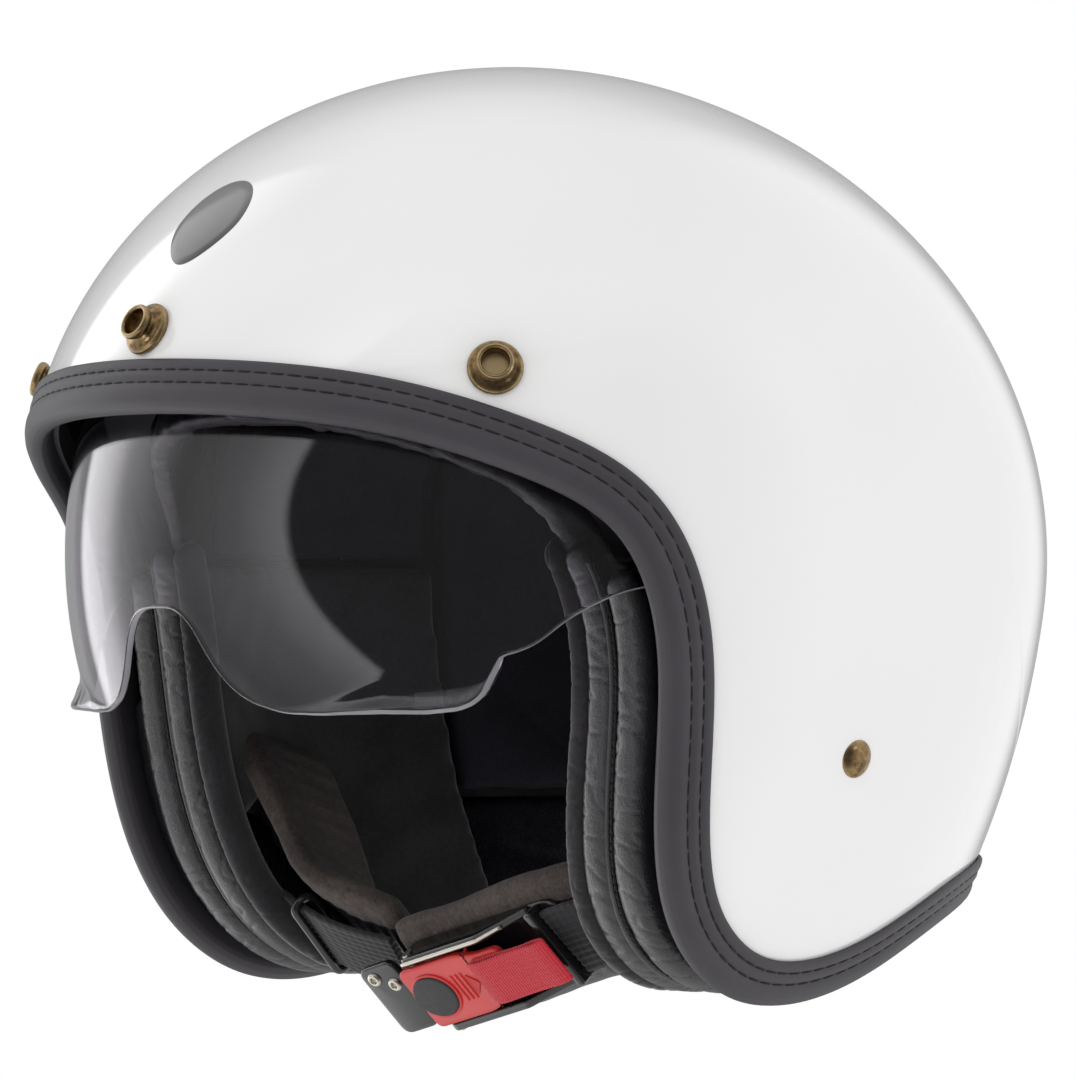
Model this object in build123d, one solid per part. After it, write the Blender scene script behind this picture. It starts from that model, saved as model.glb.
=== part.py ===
from build123d import *
from collections import namedtuple
from functools import lru_cache
from math import cos, radians, sin, sqrt
import os

# An open face motorcycle helmet with a drop-down sun visor and a buckled chin strap.
# Frame: millimetres, +Z up, -Y is the front, +X is the wearer's left.
# The origin is the centre of the head space, midway between the two side walls.
# Places in the side view are (y, z). Depths count outwards from a surface, so inner ones are negative.

# ---------------------------------------------------------------- shell, trim and badge
# Half axes of an egg: its upper, lower, front and rear halves meet smoothly at its centre.
Egg = namedtuple("Egg", "side front rear top bottom")
SHELL = Egg(side=124.0, front=134.0, rear=138.0, top=119.0, bottom=185.0)
HEAD_ROOM = Egg(side=88.0, front=97.0, rear=104.0, top=86.0, bottom=170.0)
LEAN = -11.0                    # the eggs lean back, in degrees about X
SHELL_WALL = 3.5
GAP = 0.5                       # air between neighbouring layers
FAR = 170.0                     # beyond the helmet in every direction

# Shell edge, from the brow down the face opening and back to the nape.
EDGE_POINTS = [
    (-150.0, 37.0), (-134.0, 34.5), (-112.0, 29.5), (-86.0, 18.5), (-64.0, 3.5), (-53.5, -20.0),
    (-50.5, -45.0), (-47.5, -72.0), (-38.0, -95.5), (-18.0, -110.5), (14.0, -110.5),
    (58.0, -95.0), (113.0, -88.5), (150.0, -88.0),
]

TRIM_WIDTH = 9.0                # of leather over the shell, from its edge
TRIM_LIP = 4.0                  # of rolled leather beyond the edge
TRIM_SKIN = 1.6

BADGE_HEIGHT = 56.0             # on the egg, above its centre line
BADGE_AXES = (9.5, 13.0)
BADGE_SKIN = (0.02, 0.6)        # its two faces, over the shell

# ---------------------------------------------------------------- snap studs
# Places on the egg across the brow, as (x, height above its centre line).
SNAP_PLACES = [(0.0, 25.4), (87.0, 22.0), (-87.0, 22.0)]
SNAP_HOLE = 2.6
SNAP_BORE = 3.3
# Half outlines as (radius, height over the shell).
STUD_OUTLINE = [
    (2.55, 0.0), (6.8, 0.0), (6.8, 0.8), (6.2, 1.2), (5.2, 1.7), (4.6, 2.6), (3.9, 3.0), (3.9, 3.4),
    (4.5, 3.7), (4.5, 5.4), (4.1, 5.8), (3.5, 5.8), (SNAP_BORE, 5.5), (SNAP_BORE, 2.0), (2.55, 2.0),
]
EYELET_OUTLINE = [
    (0, 1.6), (1.9, 1.6), (1.9, -5.2), (3.4, -5.2), (3.4, -4.6), (2.5, -4.6), (2.5, 2.05), (3.2, 2.05),
    (3.2, 2.5), (0, 2.5),
]
WASHER_RADIUS = 5.5
WASHER_FACES = (-4.4, -3.7)

# ---------------------------------------------------------------- sun visor
# A lens that is part of an ellipsoid turned about its own pivot line, from down to stowed under the shell.
VISOR_PIVOT = (0.0, -4.0)
VISOR_SIDE = 112.0
VISOR_RADIUS = 122.6
VISOR_WALL = 2.2
VISOR_CLEARANCE = 1.4
VISOR_LOWER = [(0, -13), (-30, -12.6), (-55, -11.5), (-69, -18), (-80, -26.5), (-90, -40), (-94, -60)]
VISOR_UPPER = [(-112, 44), (-86, 31), (-56, 14), (-26, 5.5), (0, 5)]
# The lower edge in front view, from the middle to one side.
VISOR_BOTTOM = [
    (0, -17), (8, -18.5), (14.5, -26), (19.5, -34), (26, -39.5), (34, -42), (50, -38.5), (66, -33.5),
    (84, -29.5), (120, -26),
]
VISOR_BOTTOM_REAR = -62.0       # the lower edge is trimmed in front of this y
# The lip flares out of the lens's lower edge: x, then the places of its root and of its free edge.
LIP_SECTIONS = [
    (35, (-110.5, -40.6), (-111.6, -43.2)),
    (50, (-106.5, -36.5), (-109.0, -42.0)),
    (66, (-94.5, -31.5), (-99.5, -41.0)),
    (80, (-81.5, -28.5), (-90.0, -39.5)),
    (85, (-75.5, -27.0), (-85.5, -38.5)),
]

# Visor hinge: radii, and distances from the middle of the helmet along the pivot line.
EYE_RADIUS = 9.0
BOSS_RADIUS = 4.95
BOSS_HOLE = 5.0
BOSS_END = 112.3
PLATE_RADIUS = 13.5
PLATE_FACES = (104.2, 107.2)
EAR_PLACE = (15.0, -4.0)
EAR_RADIUS = 5.0
PIVOT_SCREW_RADIUS = 2.0
FIXING_RADIUS = 1.5
SCREW_PLAY = 0.05

# ---------------------------------------------------------------- liner
FOAM_GAP = 1.0                  # between the shell and the foam liner
PAD_THICKNESS = 7.0
PAD_SEAM = 22.0                 # half width of the crown pad's middle panel
CHEEK_CORE = (-5.6, -18.0)      # depths under the shell's outer surface
CHEEK_PAD = (-18.4, -39.0)
CHEEK_INSET = 2.0
CHEEK_TOP = -6.0
CHEEK_REAR = 36.0
NECK_ROLL = (-6.0, -30.0)
NECK_TOP = -68.0
NECK_DROP = 9.0                 # below the shell's edge
GASKET = (-5.3, -6.7)
GASKET_INSETS = (2.0, 8.6)

FOAM_OUTLINE = [
    (-FAR, CHEEK_TOP), (CHEEK_REAR, CHEEK_TOP), (CHEEK_REAR, NECK_TOP), (FAR, NECK_TOP), (FAR, FAR),
    (-FAR, FAR),
]
BROW_OUTLINE = [(-FAR, -6), (-38, -6), (-38, 10), (-62, 46), (-FAR, 60)]
TEMPLE_OUTLINE = [(-37.5, -5.5), (CHEEK_REAR, -5.5), (CHEEK_REAR, 30), (-37.5, 30)]
NAPE_OUTLINE = [
    (CHEEK_REAR + GAP, NECK_TOP + 1), (FAR, NECK_TOP + 1), (FAR, 30), (CHEEK_REAR + GAP, 30),
]
CROWN_OUTLINE = [(-FAR, 60.5), (-62, 46.5), (-38, 30.5), (FAR, 30.5), (FAR, FAR), (-FAR, FAR)]
CHEEK_OUTLINE = [
    (-FAR, CHEEK_TOP - GAP), (CHEEK_REAR - GAP, CHEEK_TOP - GAP), (CHEEK_REAR - GAP, -FAR), (-FAR, -FAR),
]
NECK_OUTLINE = [(CHEEK_REAR, -FAR), (FAR, -FAR), (FAR, NECK_TOP), (CHEEK_REAR, NECK_TOP)]
GASKET_OUTLINE = [(-FAR, 5), (-62, 5), (-62, 70), (-FAR, 70)]

# ---------------------------------------------------------------- chin strap
# The rivets lie on one line across the helmet, on which the strap swings.
RIVET = (3.0, -55.0)
RIVET_HEAD = 4.9
RIVET_SHANK = 2.5
RIVET_END = 102.6
RIVET_TAIL = 4.2
SPACER_ENDS = (106.5, 115.5)
SPACER_RADIUS = 5.0
STRAP_WIDTH = 20.0
STRAP_DEPTHS = (0.2, 2.2)       # inner and outer face, from the strap's line
COVER_WIDTH = 34.0
COVER_DEPTHS = (-9.5, -1.7)
SWING_ROOM = 10.0               # air beside the strap, for its swing
RUN_ROOM = (-4.0, 5.0)          # inner and outer face of the room for the webbing, and for the cover
COVER_ROOM = (-17.0, 5.0)
PLATE_ROOM = [(-26, -34), (30, -34), (30, -92), (-34, -92)]
PLATE_ROOM_FACES = (96.0, 107.2)
ANCHOR_X = 104.9

# Buckle: u runs along it from the tongue's mouth, w across it, n out of its face.
BUCKLE_ORIGIN = Vector(-2.0, -29.0, -112.0)
BUCKLE_U = Vector(0.9717, 0.0, 0.2365).normalized()
BUCKLE_FACE = Vector(0, -0.766, -0.643)
BUCKLE_N = (BUCKLE_FACE - BUCKLE_U * BUCKLE_FACE.dot(BUCKLE_U)).normalized()
BUCKLE_W = BUCKLE_N.cross(BUCKLE_U)
BUCKLE = Plane(origin=BUCKLE_ORIGIN, x_dir=BUCKLE_U, z_dir=BUCKLE_N)
BUCKLE_LENGTH = 56.0
BUCKLE_WIDTH = 24.0
BASE_THICKNESS = 1.4
WALL_LENGTH = 36.0
WALL_HEIGHT = 7.0
BAR = (47.0, 50.0)
BAR_FACES = (2.4, 4.6)
LEVER_ENDS = (-3.0, 35.0)
LEVER_FACES = (5.4, 7.8)
LEVER_WIDTH = 18.6
LEVER_PIN = (2.0, 4.6)          # (u, n)
LEVER_PIN_RADIUS = 1.5
TAB_START = 24.0
TONGUE_ENDS = (-18.0, 11.0)
TONGUE_FACES = (0.3, 1.9)
TOOTH_COUNT = 5
TOOTH_PITCH = 2.4
CAP_ENDS = (-20.0, -6.5)
CAP_RIVETS = [(-15.5, 8.0), (-10.0, 5.0)]

PARTS = {}


def buckle_point(u, w=0.0, n=0.0):
    return BUCKLE.from_local_coords(Vector(u, w, n))


# Each strap line is a list of places and of directions across the strap there.
LEFT_PATH = [
    (Vector(101.7, 3, -64), Vector(0, -1, 0)),
    (Vector(100.8, 1, -80), Vector(0, -0.98, 0.2)),
    (Vector(91, -10, -91.5), Vector(-0.1, -0.86, 0.5)),
    (Vector(72, -21, -95.5), Vector(-0.16, -0.72, 0.68)),
    (buckle_point(60), BUCKLE_W),
    (buckle_point(51), BUCKLE_W),
]
COVER_LEFT = [
    (Vector(84, -15, -93.5), Vector(-0.13, -0.79, 0.6)),
    (Vector(72, -21, -95.5), Vector(-0.16, -0.72, 0.68)),
    (buckle_point(60), BUCKLE_W),
    (buckle_point(-8), BUCKLE_W),
]
RIGHT_PATH = [
    (Vector(-19, -25, -108.5), Vector(0, -0.68, 0.73)),
    (Vector(-44, -26.5, -103.5), Vector(0.1, -0.7, 0.7)),
    (Vector(-72, -21, -95.5), Vector(0.16, -0.72, 0.68)),
    (Vector(-91, -10, -91.5), Vector(0.1, -0.86, 0.5)),
    (Vector(-100.8, 1, -80), Vector(0, -0.98, 0.2)),
    (Vector(-101.7, 3, -64), Vector(0, -1, 0)),
]
COVER_RIGHT = [
    (Vector(-19, -25, -108.5), Vector(0, -0.68, 0.73)),
    (Vector(-44, -26.5, -103.5), Vector(0.1, -0.7, 0.7)),
    (Vector(-72, -21, -95.5), Vector(0.16, -0.72, 0.68)),
    (Vector(-84, -15, -93.5), Vector(0.13, -0.79, 0.6)),
]


# ---------------------------------------------------------------- shared shapes
@lru_cache(maxsize=None)
def egg(size, grow=0.0):
    """A closed egg, grown all round, as one solid leaning back."""
    quarters = []
    for y_side, half_y in ((-1, size.front), (1, size.rear)):
        for z_side, half_z in ((1, size.top), (-1, size.bottom)):
            quarter = Sphere(1) & Pos(0, y_side, z_side) * Box(3, 2, 2)
            quarters.append(scale(quarter, by=(size.side + grow, half_y + grow, half_z + grow)))
    return Rot(X=LEAN) * (quarters[0] + quarters[1:])


def layer(outer, inner, size=SHELL):
    """The wall between two depths of an egg."""
    return egg(size, outer) - egg(size, inner)


def egg_half_width(y, z, size=SHELL):
    """x of the egg's side surface over a place in the side view."""
    c, s = cos(radians(LEAN)), sin(radians(LEAN))
    y_egg, z_egg = y * c + z * s, z * c - y * s
    half_y = size.front if y_egg < 0 else size.rear
    half_z = size.top if z_egg > 0 else size.bottom
    return size.side * sqrt(1 - (y_egg / half_y) ** 2 - (z_egg / half_z) ** 2)


EDGE = Spline(*EDGE_POINTS)


def edge_points(inset, count=33):
    """Places in the side view a distance inside the shell's edge line."""
    points = []
    for i in range(count):
        place, along = EDGE @ (i / (count - 1)), EDGE % (i / (count - 1))
        points.append((place.X - along.Y * inset, place.Y + along.X * inset))
    return points


@lru_cache(maxsize=None)
def inside_edge(inset):
    """The whole space on the shell's side of the edge line, moved inwards by inset."""
    points = edge_points(inset)
    beyond = 260
    corners = [
        points[-1], (beyond, points[-1][1]), (beyond, beyond), (-beyond, beyond), (-beyond, points[0][1]),
        points[0],
    ]
    return extrude(Plane.YZ * make_face(Spline(*points) + Polyline(*corners)), FAR, both=True)


def side_slab(outline, half_width=FAR):
    """A closed outline of the side view, pushed out both ways along X."""
    return extrude(Plane.YZ * make_face(Polyline(*outline, close=True)), half_width, both=True)


def box_between(low, high):
    size = [h - l for l, h in zip(low, high)]
    middle = [(h + l) / 2 for l, h in zip(low, high)]
    return Pos(*middle) * Box(*size)


def rod(radius, low, high, place):
    """A round bar along X, over a place in the side view."""
    return Pos((low + high) / 2, *place) * Rot(Y=90) * Cylinder(radius, high - low)


def left_half(shape):
    return shape & box_between((0, -300, -300), (300, 300, 300))


def mirrored(shape):
    return mirror(shape, about=Plane.YZ)


def both_sides(left):
    """One node of two like solids."""
    return Compound(children=[left, mirrored(left)])


def add_pair(name, left):
    """Two nodes, one for each side."""
    PARTS[name + "_left"] = left
    PARTS[name + "_right"] = mirrored(left)


# ---------------------------------------------------------------- shell and trim
def egg_frame(x, height):
    """The tangent plane of the shell's front at a place, its normal pointing out."""
    y = -SHELL.front * sqrt(1 - (x / SHELL.side) ** 2 - (height / SHELL.top) ** 2)
    normal = Vector(x / SHELL.side**2, y / SHELL.front**2, height / SHELL.top**2).normalized()
    place = Vector(x, y, height).rotate(Axis.X, LEAN)
    return Plane(origin=place, z_dir=normal.rotate(Axis.X, LEAN))


def plain_shell():
    return layer(0, -SHELL_WALL) & inside_edge(0)


def outer_shell():
    shell = plain_shell()
    for x, height in SNAP_PLACES:
        shell -= egg_frame(x, height) * Cylinder(SNAP_HOLE, 16)
    return shell - rod(RIVET_SHANK + SCREW_PLAY, -FAR, FAR, RIVET)


def edge_trim():
    band = inside_edge(-TRIM_LIP) - inside_edge(TRIM_WIDTH)
    wrap = layer(TRIM_SKIN, -SHELL_WALL - TRIM_SKIN) & band
    return wrap - plain_shell()


def front_badge():
    oval = extrude(Plane.XY * Ellipse(*BADGE_AXES), 12, both=True)
    return layer(BADGE_SKIN[1], BADGE_SKIN[0]) & egg_frame(0, BADGE_HEIGHT) * oval


# ---------------------------------------------------------------- snap studs and rivets
def turned(outline):
    """A solid of revolution from (radius, height) places."""
    return revolve(Plane.XZ * make_face(Polyline(*outline, close=True)), Axis.Z)


def snap_parts():
    low, high = WASHER_FACES
    washer = Cylinder(WASHER_RADIUS, high - low) - Cylinder(SNAP_HOLE, 1)
    washer = Pos(0, 0, (low + high) / 2) * washer
    frames = [egg_frame(x, height) for x, height in SNAP_PLACES]
    PARTS["brow_snap_studs"] = Compound(children=[frame * turned(STUD_OUTLINE) for frame in frames])
    PARTS["brow_snap_eyelets"] = Compound(children=[frame * turned(EYELET_OUTLINE) for frame in frames])
    PARTS["brow_snap_washers"] = Compound(children=[frame * washer for frame in frames])


def rivet_parts():
    wall = egg_half_width(*RIVET)
    dome = Pos(wall - 8.5, *RIVET) * Rot(Y=90) * Sphere(11.2) & rod(RIVET_HEAD, wall - 2.6, wall + 20, RIVET)
    rivet = dome - egg(SHELL, 0)
    rivet += rod(RIVET_SHANK, RIVET_END, wall + 0.6, RIVET)
    rivet += rod(RIVET_TAIL, RIVET_END, RIVET_END + 1.2, RIVET)
    spacer = rod(SPACER_RADIUS, *SPACER_ENDS, RIVET) - rod(RIVET_SHANK + SCREW_PLAY, 100, FAR, RIVET)
    spacer &= egg(SHELL, -SHELL_WALL - 0.05)
    PARTS["strap_rivets"] = both_sides(rivet)
    PARTS["strap_rivet_spacers"] = both_sides(spacer)


# ---------------------------------------------------------------- sun visor
def visor_egg(shrink):
    radius = VISOR_RADIUS - shrink
    return Pos(0, *VISOR_PIVOT) * scale(Sphere(1), by=(VISOR_SIDE - shrink, radius, radius))


def visor_outline():
    front = Polyline(VISOR_LOWER[-1], (-150, -60), (-150, 58), VISOR_UPPER[0])
    back = Line(VISOR_UPPER[-1], VISOR_LOWER[0])
    face = make_face(Spline(*VISOR_LOWER) + front + Spline(*VISOR_UPPER) + back)
    return extrude(Plane.YZ * face, FAR, both=True) + rod(EYE_RADIUS, -FAR, FAR, VISOR_PIVOT)


def visor_bottom_cut():
    right = [(-x, z) for x, z in reversed(VISOR_BOTTOM[1:])]
    side, height = VISOR_BOTTOM[-1]
    below = Polyline((side, height), (side, -90), (-side, -90), (-side, height))
    area = Plane.XZ * make_face(Spline(*(right + VISOR_BOTTOM)) + below)
    return extrude(area, FAR, both=True) & box_between((-FAR, -FAR, -100), (FAR, VISOR_BOTTOM_REAR, 0))


def visor_lip():
    """One side's flared lip, as a ruled strip of constant thickness."""
    sections = []
    for x, root, tip in LIP_SECTIONS:
        run = Vector(tip[0] - root[0], tip[1] - root[1])
        half = Vector(-run.Y, run.X).normalized() * (VISOR_WALL / 2)
        start = Vector(*root) - run.normalized()
        end = Vector(*tip)
        outline = Polyline(start + half, end + half, end - half, start - half, close=True)
        sections.append(Plane(origin=(x, 0, 0), x_dir=(0, 1, 0), z_dir=(1, 0, 0)) * make_face(outline))
    return loft(sections, ruled=True)


def visor_lens():
    lens = (visor_egg(0) - visor_egg(VISOR_WALL)) & visor_outline()
    lens -= visor_bottom_cut()
    lip = visor_lip()
    return lens + lip + mirrored(lip) - rod(BOSS_HOLE, -FAR, FAR, VISOR_PIVOT)


def visor_space():
    """The space inside the shell that the visor needs, down, stowed and between."""
    y, z = VISOR_PIVOT
    fan = [(y + 14, z - 14), (y - 10, z - 16)]
    for angle in (-34, -10, 15, 40, 62):
        fan.append((y - 190 * cos(radians(angle)), z + 190 * sin(radians(angle))))
    fan += [(y + 2, z + 16), (y + 14, z + 14)]
    return side_slab(fan) - visor_egg(VISOR_WALL + VISOR_CLEARANCE)


def hinge_parts():
    plate = rod(PLATE_RADIUS, *PLATE_FACES, VISOR_PIVOT) + rod(EAR_RADIUS, *PLATE_FACES, EAR_PLACE)
    plate += rod(BOSS_RADIUS, PLATE_FACES[1], BOSS_END, VISOR_PIVOT)
    plate -= rod(PIVOT_SCREW_RADIUS + SCREW_PLAY, 104.5, 112.5, VISOR_PIVOT)
    plate -= rod(FIXING_RADIUS + SCREW_PLAY, 85, 115, EAR_PLACE)
    screw = rod(6.4, 112.4, 114.6, VISOR_PIVOT) + rod(PIVOT_SCREW_RADIUS, 105.5, 112.5, VISOR_PIVOT)
    screw -= Pos(114.4, *VISOR_PIVOT) * Box(1.4, 1.2, 8)
    washer = rod(8.0, 107.4, 109.0, VISOR_PIVOT) - rod(5.15, 107, 110, VISOR_PIVOT)
    fixing = rod(3.0, 107.3, 108.5, EAR_PLACE) + rod(FIXING_RADIUS, 97, 108, EAR_PLACE)
    add_pair("visor_hinge_plate", plate)
    PARTS["visor_pivot_screws"] = both_sides(screw)
    PARTS["visor_friction_washers"] = both_sides(washer)
    PARTS["hinge_plate_screws"] = both_sides(fixing)


def hinge_space():
    """The pockets that the hinges need, on both sides."""
    pocket = rod(PLATE_RADIUS + GAP, 104, 116, VISOR_PIVOT) + rod(EAR_RADIUS + GAP, 104, 116, EAR_PLACE)
    pocket += rod(FIXING_RADIUS + SCREW_PLAY, 85, 115, EAR_PLACE)
    return pocket + mirrored(pocket)


# ---------------------------------------------------------------- chin strap
def strap_solid(path, width, depths):
    """A flat band along a strap line, between two depths from it."""
    sections = []
    for i, (place, across) in enumerate(path):
        before, after = path[max(i - 1, 0)][0], path[min(i + 1, len(path) - 1)][0]
        along = (after - before).normalized()
        across = (across - along * across.dot(along)).normalized()
        section = Plane(origin=place, x_dir=across, z_dir=along)
        middle = -(depths[0] + depths[1]) / 2
        sections.append(section * Pos(0, middle) * Rectangle(width, depths[1] - depths[0]))
    return loft(sections, ruled=True)


def strap_space():
    """The room that the plate, strap and cover need on the left side, at rest and through their swing."""
    low, high = PLATE_ROOM_FACES
    plate_room = left_half(side_slab(PLATE_ROOM, high) - side_slab(PLATE_ROOM, low))
    run = strap_solid(LEFT_PATH, STRAP_WIDTH + 2 * SWING_ROOM, RUN_ROOM)
    cover = strap_solid(LEFT_PATH[2:], COVER_WIDTH + 2 * SWING_ROOM, COVER_ROOM)
    return plate_room + run + cover


def anchor_plate():
    """A plate that hangs on the rivet, with a slot for the webbing."""
    outline = Pos(0, 3) * Rectangle(26, 20) + Pos(0, 13) * Circle(13)
    plate = extrude(outline, 0.8, both=True) - Pos(0, 13) * Cylinder(RIVET_SHANK + SCREW_PLAY, 5)
    plate -= Pos(0, -2) * Box(21.5, 4, 5)
    y, z = RIVET
    return Plane(origin=(ANCHOR_X, y, z - 13), x_dir=(0, 1, 0), z_dir=(1, 0, 0)) * plate


def strap_ring():
    """A wire loop round the right strap and its cover."""
    place = RIGHT_PATH[2][0] * 0.3 + RIGHT_PATH[1][0] * 0.7
    along = (RIGHT_PATH[2][0] - RIGHT_PATH[1][0]).normalized()
    frame = Plane(origin=place, x_dir=RIGHT_PATH[2][1], z_dir=along)
    depth = STRAP_DEPTHS[1] - COVER_DEPTHS[0]
    opening = Rectangle(COVER_WIDTH + 1.2, depth + 1.2)
    band = Rectangle(COVER_WIDTH + 5.2, depth + 5.2) - opening
    ring = extrude(fillet(band.vertices(), 0.55), 1.3, both=True)
    return frame * Pos(0, -(COVER_DEPTHS[0] + STRAP_DEPTHS[1]) / 2) * ring


def strap_parts():
    PARTS["strap_webbing_left"] = strap_solid(LEFT_PATH, STRAP_WIDTH, STRAP_DEPTHS)
    PARTS["strap_webbing_right"] = strap_solid(RIGHT_PATH, STRAP_WIDTH, STRAP_DEPTHS)
    PARTS["strap_cover_left"] = strap_solid(COVER_LEFT, COVER_WIDTH, COVER_DEPTHS)
    PARTS["strap_cover_right"] = strap_solid(COVER_RIGHT, COVER_WIDTH, COVER_DEPTHS)
    PARTS["strap_anchor_plates"] = both_sides(anchor_plate())
    PARTS["strap_ring"] = strap_ring()


# ---------------------------------------------------------------- buckle, in its own (u, w, n)
def pin_rod(radius, length):
    u, n = LEVER_PIN
    return Pos(u, 0, n) * Rot(X=90) * Cylinder(radius, length)


def buckle_housing():
    half = BUCKLE_WIDTH / 2
    inner = LEVER_WIDTH / 2 + 0.3
    base = box_between((0, -half, -BASE_THICKNESS), (BUCKLE_LENGTH, half, 0))
    base = fillet(base.edges().filter_by(Axis.Z).sort_by(Axis.X)[-2:], 6)
    walls = box_between((0, inner, 0), (WALL_LENGTH, half, WALL_HEIGHT))
    walls += box_between((0, -half, 0), (WALL_LENGTH, -inner, WALL_HEIGHT))
    walls = fillet(walls.edges().filter_by(Axis.Y).group_by(Axis.Z)[-1], 2.2)
    low, high = BAR_FACES
    bar = box_between((BAR[0], -half, 0), (BAR[1], half, high))
    bar -= box_between((BAR[0], 1.6 - half, 0), (BAR[1], half - 1.6, low))
    return base + walls + bar - pin_rod(LEVER_PIN_RADIUS + 0.02, 40)


def release_lever():
    low, high = LEVER_ENDS
    under, top = LEVER_FACES
    half = LEVER_WIDTH / 2
    lever = box_between((low, -half, under), (high, half, top))
    lever = fillet(lever.edges().filter_by(Axis.Z), 2.5)
    lever = fillet(lever.faces().sort_by(Axis.Z)[-1].edges(), 0.8)
    lever += pin_rod(3.0, LEVER_WIDTH - 0.4) & box_between((-5, -20, 3.6), (9, 20, 7.0))
    pawl = box_between((7.6, -6, 3.3), (9.6, 6, 5.6))
    return lever + pawl - pin_rod(LEVER_PIN_RADIUS + SCREW_PLAY, 40)


def ratchet_tongue():
    low, high = TONGUE_FACES
    tongue = box_between((TONGUE_ENDS[0], -7, low), (TONGUE_ENDS[1], 7, high))
    outline = Polyline((0, high), (2.2, high), (0, high + 1.1), close=True)
    tooth = extrude(Plane.XZ * make_face(outline), 5, both=True)
    for i in range(TOOTH_COUNT):
        tongue += Pos(TONGUE_ENDS[1] - TOOTH_PITCH * (i + 1), 0, 0) * tooth
    return tongue


def tongue_rivet(u, w):
    return Pos(u, w, 4.7) * (Cylinder(1.9, 0.9) - Pos(0, 0, 0.3) * Cylinder(0.8, 0.6))


def buckle_parts():
    PARTS["buckle_housing"] = BUCKLE * buckle_housing()
    PARTS["lever_pin"] = BUCKLE * pin_rod(LEVER_PIN_RADIUS, BUCKLE_WIDTH + 1)
    PARTS["release_lever"] = BUCKLE * release_lever()
    button = extrude(Plane(origin=(5, 0, LEVER_FACES[1] + 0.05)) * Ellipse(7, 6), 1.0)
    PARTS["lever_button"] = BUCKLE * button
    tab = box_between((TAB_START, -6.5, LEVER_FACES[1] + 0.1), (BUCKLE_LENGTH - 2, 6.5, LEVER_FACES[1] + 2.5))
    PARTS["pull_tab"] = BUCKLE * fillet(tab.edges().filter_by(Axis.Y), 1.1)
    PARTS["ratchet_tongue"] = BUCKLE * ratchet_tongue()
    cap = box_between((CAP_ENDS[0], -10, 2.0), (CAP_ENDS[1], 11.5, 4.2))
    PARTS["tongue_cap"] = BUCKLE * fillet(cap.edges().filter_by(Axis.Z), 3)
    rivets = [tongue_rivet(u, w) for u, w in CAP_RIVETS]
    PARTS["tongue_rivets"] = BUCKLE * Compound(children=rivets)


# ---------------------------------------------------------------- liner
def crown_foam(visor_room):
    foam = egg(SHELL, -SHELL_WALL - FOAM_GAP) - egg(HEAD_ROOM, PAD_THICKNESS + GAP)
    return (foam & side_slab(FOAM_OUTLINE) & inside_edge(TRIM_WIDTH + 1)) - visor_room


def lining_parts(visor_room):
    """The thin pads that line the head space."""
    lining = (layer(PAD_THICKNESS, 0, HEAD_ROOM) & inside_edge(3)) - visor_room
    crown = lining & side_slab(CROWN_OUTLINE)
    PARTS["brow_pad"] = lining & side_slab(BROW_OUTLINE)
    PARTS["nape_pad"] = lining & side_slab(NAPE_OUTLINE)
    PARTS["crown_pad_middle"] = crown & box_between((-PAD_SEAM, -300, -300), (PAD_SEAM, 300, 300))
    add_pair("crown_pad", crown & box_between((PAD_SEAM + GAP, -300, -300), (300, 300, 300)))
    add_pair("temple_pad", left_half(lining & side_slab(TEMPLE_OUTLINE)))


def cheek_parts(visor_room):
    """A firm core and a soft pad on each side, with room for the straps to swing."""
    space = left_half(side_slab(CHEEK_OUTLINE) & inside_edge(CHEEK_INSET)) - visor_room
    core = layer(*CHEEK_CORE) & space
    core -= rod(SPACER_RADIUS + 0.2, 0, FAR, RIVET)
    pad = layer(*CHEEK_PAD) & space
    straps = strap_space()
    add_pair("cheek_core", core - straps)
    add_pair("cheek_pad", pad - straps)


def liner_parts():
    visor_room = visor_space() + hinge_space()
    PARTS["crown_foam"] = crown_foam(visor_room)
    lining_parts(visor_room)
    cheek_parts(visor_room)
    PARTS["neck_roll"] = layer(*NECK_ROLL) & side_slab(NECK_OUTLINE) & inside_edge(-NECK_DROP)
    inset_band = inside_edge(GASKET_INSETS[0]) - inside_edge(GASKET_INSETS[1])
    PARTS["visor_gasket"] = layer(*GASKET) & inset_band & side_slab(GASKET_OUTLINE)


def build():
    PARTS["outer_shell"] = outer_shell()
    PARTS["edge_trim"] = edge_trim()
    PARTS["front_badge"] = front_badge()
    snap_parts()
    rivet_parts()
    PARTS["visor_lens"] = visor_lens()
    hinge_parts()
    liner_parts()
    strap_parts()
    buckle_parts()


build()
os.makedirs("parts", exist_ok=True)
for node, shape in PARTS.items():
    export_step(shape, f"parts/{node}.step")
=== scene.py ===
from collections import namedtuple
from math import cos, pi, radians, sin, sqrt, tan

import bmesh
import bpy
import numpy as np
from mathutils import Matrix, Vector, noise
from mathutils.bvhtree import BVHTree

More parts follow.
